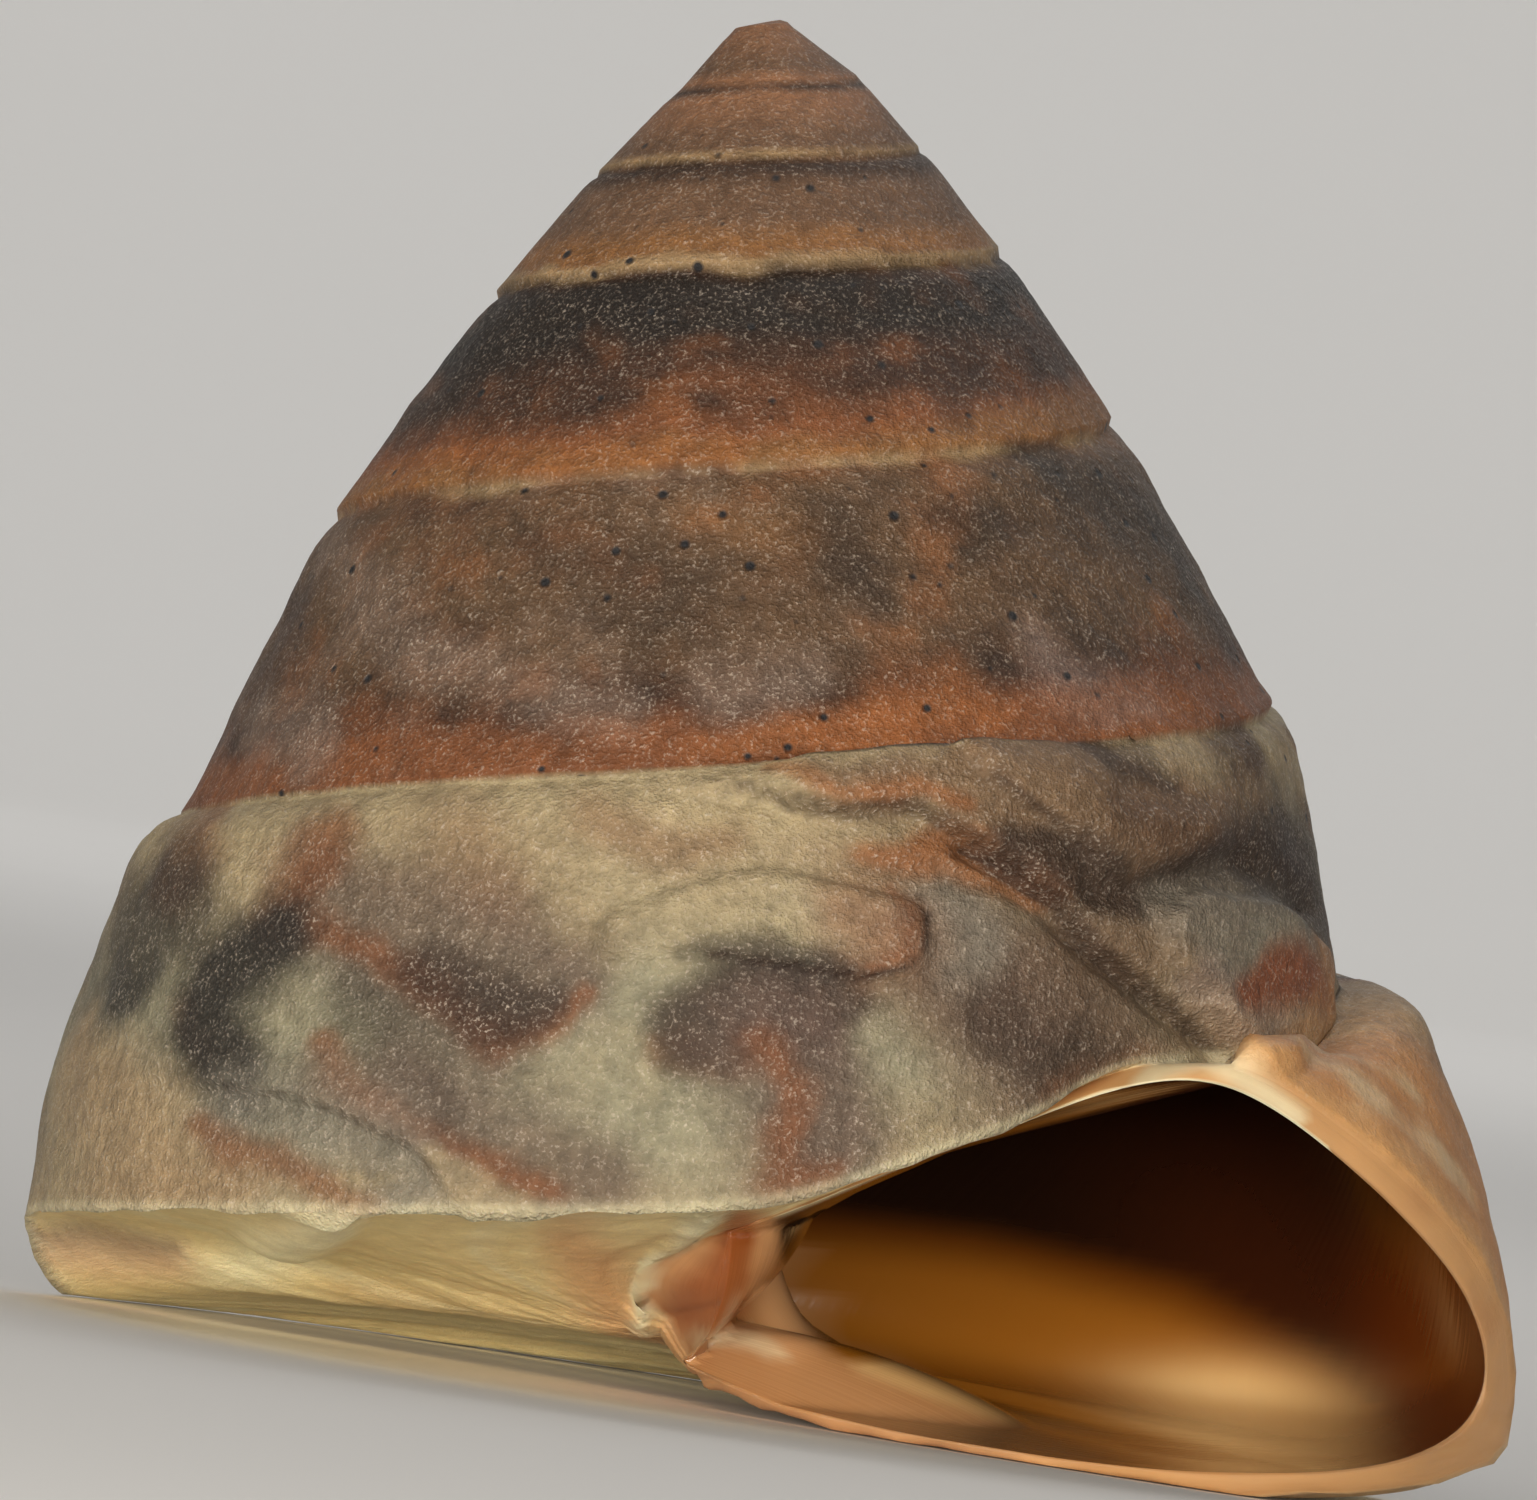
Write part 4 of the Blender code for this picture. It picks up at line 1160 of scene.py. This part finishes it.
class Wiring:
    """Short words for making and linking the nodes of one material."""

    def __init__(self, name):
        self.material = bpy.data.materials.new(name)
        self.material.use_nodes = True
        self.tree = self.material.node_tree
        self.shader = self.tree.nodes["Principled BSDF"].inputs

    def node(self, kind, inputs=None, **settings):
        node = self.tree.nodes.new(kind)
        for name, value in settings.items():
            setattr(node, name, value)
        for socket, value in (inputs or {}).items():
            self.feed(node.inputs[socket], value)
        return node

    def feed(self, socket, value):
        if isinstance(value, bpy.types.NodeSocket):
            self.tree.links.new(value, socket)
        else:
            socket.default_value = value

    def stored(self, name, output="Fac"):
        """What the mesh holds under this name."""
        return self.node("ShaderNodeAttribute", attribute_name=name).outputs[output]

    def place(self):
        return self.node("ShaderNodeTexCoord").outputs["Object"]

    def math(self, operation, *values):
        node = self.node("ShaderNodeMath", operation=operation)
        for socket, value in zip(node.inputs, values):
            self.feed(socket, value)
        return node.outputs[0]

    def ranged(self, value, low, high, to_low=0.0, to_high=1.0):
        settings = {"Value": value, "From Min": low, "From Max": high, "To Min": to_low, "To Max": to_high}
        return self.node("ShaderNodeMapRange", settings).outputs[0]

    def noise(self, coordinates, size, detail=2.0, roughness=0.5):
        """Noise from 0 to 1 whose bumps are about the given size in millimetres."""
        settings = {"Vector": coordinates, "Scale": 1 / (size * MM), "Detail": detail, "Roughness": roughness}
        return self.node("ShaderNodeTexNoise", settings).outputs[0]

    def mixed(self, share, one, two):
        node = self.node("ShaderNodeMix", data_type="RGBA")
        self.feed(node.inputs["Factor"], share)
        self.feed(node.inputs["A"], one)
        self.feed(node.inputs["B"], two)
        return node.outputs["Result"]


def shell_material():
    """Shell lime: the painted tint, a crystal grain with bright specks that are partly painted glints,
    pinholes, ribs, and gloss inside.
    """
    w = Wiring("shell_lime")
    place = w.place()
    grain, wet, growth = w.stored("grain"), w.stored("wet"), w.stored("growth")
    fine = w.noise(place, FINE_GRAIN, *CRYSTALS)
    middling = w.noise(place, MIDDLING_GRAIN, *CRYSTALS)
    pits = pinholes(w, place, growth)
    colour = specked_and_glinting(w, shaded(w, place, grain, middling), grain, fine, middling)
    w.feed(w.shader["Base Color"], w.mixed(w.math("MULTIPLY", pits, grain), colour, PIT_COLOUR))
    glints = w.math("MULTIPLY", w.ranged(fine, 0.5, 0.7, 0.0, GLINT), grain)
    w.feed(w.shader["Roughness"], w.math("SUBTRACT", w.ranged(wet, 0.0, 1.0, *ROUGHNESS), glints))
    w.feed(w.shader["Specular IOR Level"], w.ranged(wet, 0.0, 1.0, *SPECULAR))
    height = w.math("MULTIPLY_ADD", fine, FINE_RELIEF, w.math("MULTIPLY", middling, MIDDLING_RELIEF))
    height = w.math("MULTIPLY", w.math("MULTIPLY_ADD", pits, -PIT_DEPTH, height), grain)
    height = w.math("MULTIPLY_ADD", growth_ribs(w, growth), RIB_RELIEF, height)
    bump = w.node("ShaderNodeBump", {"Height": height, "Distance": MM, "Strength": 1.0})
    w.feed(w.shader["Normal"], bump.outputs[0])
    w.shader["IOR"].default_value = SHELL_IOR
    w.shader["Subsurface Weight"].default_value = GLOW_WEIGHT
    w.shader["Subsurface Radius"].default_value = GLOW_RADIUS
    w.shader["Subsurface Scale"].default_value = GLOW_DEPTH * MM
    return w.material


def shaded(w, place, grain, middling):
    """The painted tint, darker and lighter with the grain."""
    shade = w.ranged(middling, 0.3, 0.7, -MIDDLING_SHADE, MIDDLING_SHADE)
    broad = w.ranged(w.noise(place, COARSE_GRAIN), 0.3, 0.7, -COARSE_SHADE, COARSE_SHADE)
    shade = w.math("MULTIPLY_ADD", w.math("ADD", shade, broad), grain, 1.0)
    toned = w.node("ShaderNodeVectorMath", {0: w.stored("tint", "Color")}, operation="SCALE")
    w.feed(toned.inputs["Scale"], shade)
    return toned.outputs[0]


def specked_and_glinting(w, colour, grain, fine, middling):
    """Bright crystals, partly their own pale colour and partly painted glints, thickest where the shell is
    frosted over.
    """
    frosted = w.ranged(w.stored("tint", "Alpha"), 0.0, 1.0, 1.0, FROSTED_SPECKS_AND_GLINTS)
    specks_and_glints = w.math("MULTIPLY", w.ranged(fine, 0.54, 0.68), w.ranged(middling, 0.35, 0.65, *SPECK_AND_GLINT_STRENGTH))
    specks_and_glints = w.math("MULTIPLY", specks_and_glints, frosted)
    return w.mixed(w.math("MULTIPLY", specks_and_glints, grain), colour, SPECK_AND_GLINT_COLOUR)


def pinholes(w, place, growth):
    """Small dark borings in the older whorls, one in some of the cells."""
    settings = {"Vector": place, "Scale": 1 / (PIT_SPACING * MM), "Randomness": 1.0}
    cells = w.node("ShaderNodeTexVoronoi", settings)
    chosen = w.node("ShaderNodeSeparateColor", {"Color": cells.outputs["Color"]}).outputs[0]
    radius = w.ranged(chosen, 0.2, 1.0, 0.0, PIT_SIZE)
    pits = w.ranged(w.math("SUBTRACT", radius, cells.outputs["Distance"]), -0.02, 0.08)
    return w.math("MULTIPLY", pits, w.ranged(growth, LAST_WHORL + 0.01, LAST_WHORL))


def growth_ribs(w, growth):
    """Fine ribs along the growth lines."""
    ribs = w.node("ShaderNodeCombineXYZ", {"X": w.math("MULTIPLY", growth, RIBS_PER_TURN)}).outputs[0]
    return w.node("ShaderNodeTexNoise", {"Vector": ribs, "Scale": 1.0, "Detail": 1.0}).outputs[0]


def placed(name, data):
    """A new object of the scene."""
    thing = bpy.data.objects.new(name, data)
    bpy.context.scene.collection.objects.link(thing)
    return thing


def dressed_shell():
    shell = placed("shell_surface", shell_mesh())
    shell.data.materials.append(shell_material())
    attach(shell, "root")
    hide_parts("shell")


def floor_profile():
    """The floor's side view: level, then a quarter round, then upright. Places are (y, z)."""
    profile = [(-FLOOR_HALF, -FLOOR_GAP), (FLOOR_BACK, -FLOOR_GAP)]
    for i in range(1, SWEEP_STEPS + 1):
        angle = math.pi / 2 * i / SWEEP_STEPS
        rise = SWEEP_RADIUS * (1 - math.cos(angle))
        profile.append((FLOOR_BACK + SWEEP_RADIUS * math.sin(angle), rise - FLOOR_GAP))
    profile.append((FLOOR_BACK + SWEEP_RADIUS, BACKDROP_HEIGHT))
    return profile


def plain_floor():
    places = [(x * MM, y * MM, z * MM) for y, z in floor_profile() for x in (-FLOOR_HALF, FLOOR_HALF)]
    faces = [(2 * i, 2 * i + 1, 2 * i + 3, 2 * i + 2) for i in range(len(places) // 2 - 1)]
    mesh = bpy.data.meshes.new("floor")
    mesh.from_pydata(places, [], faces)
    mesh.shade_smooth()
    floor = placed("floor", mesh)
    w = Wiring("floor_paint")
    w.feed(w.shader["Base Color"], w.mixed(w.noise(w.place(), FLOOR_CLOUD), *FLOOR_COLOURS))
    w.shader["Roughness"].default_value = FLOOR_ROUGHNESS
    floor.data.materials.append(w.material)


def set_axes(thing, right, up, back, place):
    """Turns and moves an object so that its own axes are the three given."""
    matrix = np.eye(4)
    matrix[:3] = np.stack([right, up, back, np.array(place) * MM], axis=1)
    thing.matrix_world = mathutils.Matrix(matrix.tolist())


def aimed(thing, place, aim):
    """Points an object's -Z at the aim, with its X level."""
    back = np.array(place, float) - np.array(aim, float)
    back = back / np.linalg.norm(back)
    right = np.cross((0, 0, 1), back)
    right = right / np.linalg.norm(right)
    set_axes(thing, right, np.cross(back, right), back, place)


def soft_light():
    for name, place, aim, width, height, power, colour in SOFT_BOXES:
        light = bpy.data.lights.new(name, "AREA")
        light.shape = "RECTANGLE"
        light.size = width * MM
        light.size_y = height * MM
        light.energy = power
        light.color = colour
        aimed(placed(name, light), place, aim)
    world = bpy.data.worlds.new("studio")
    world.use_nodes = True
    background = world.node_tree.nodes["Background"]
    background.inputs["Color"].default_value = SKY
    background.inputs["Strength"].default_value = SKY_STRENGTH
    bpy.context.scene.world = world


def picture_camera():
    """Looks level from the front, with the picture turned as the photograph is."""
    camera = bpy.data.cameras.new("camera")
    camera.sensor_width = SENSOR_WIDTH
    camera.lens = SENSOR_WIDTH * CAMERA_DISTANCE / PICTURE_WIDTH
    camera.clip_start = CLIP_START * MM
    camera.clip_end = CLIP_END * MM
    eye = placed("camera", camera)
    roll = math.radians(PICTURE_TURN)
    right = (math.cos(roll), 0.0, math.sin(roll))
    up = (-math.sin(roll), 0.0, math.cos(roll))
    x, z = PICTURE_MIDDLE
    set_axes(eye, right, up, (0.0, -1.0, 0.0), (x, -CAMERA_DISTANCE, z))
    bpy.context.scene.camera = eye


bpy.context.scene.view_settings.view_transform = "Standard"
picture_camera()
dressed_shell()
plain_floor()
soft_light()
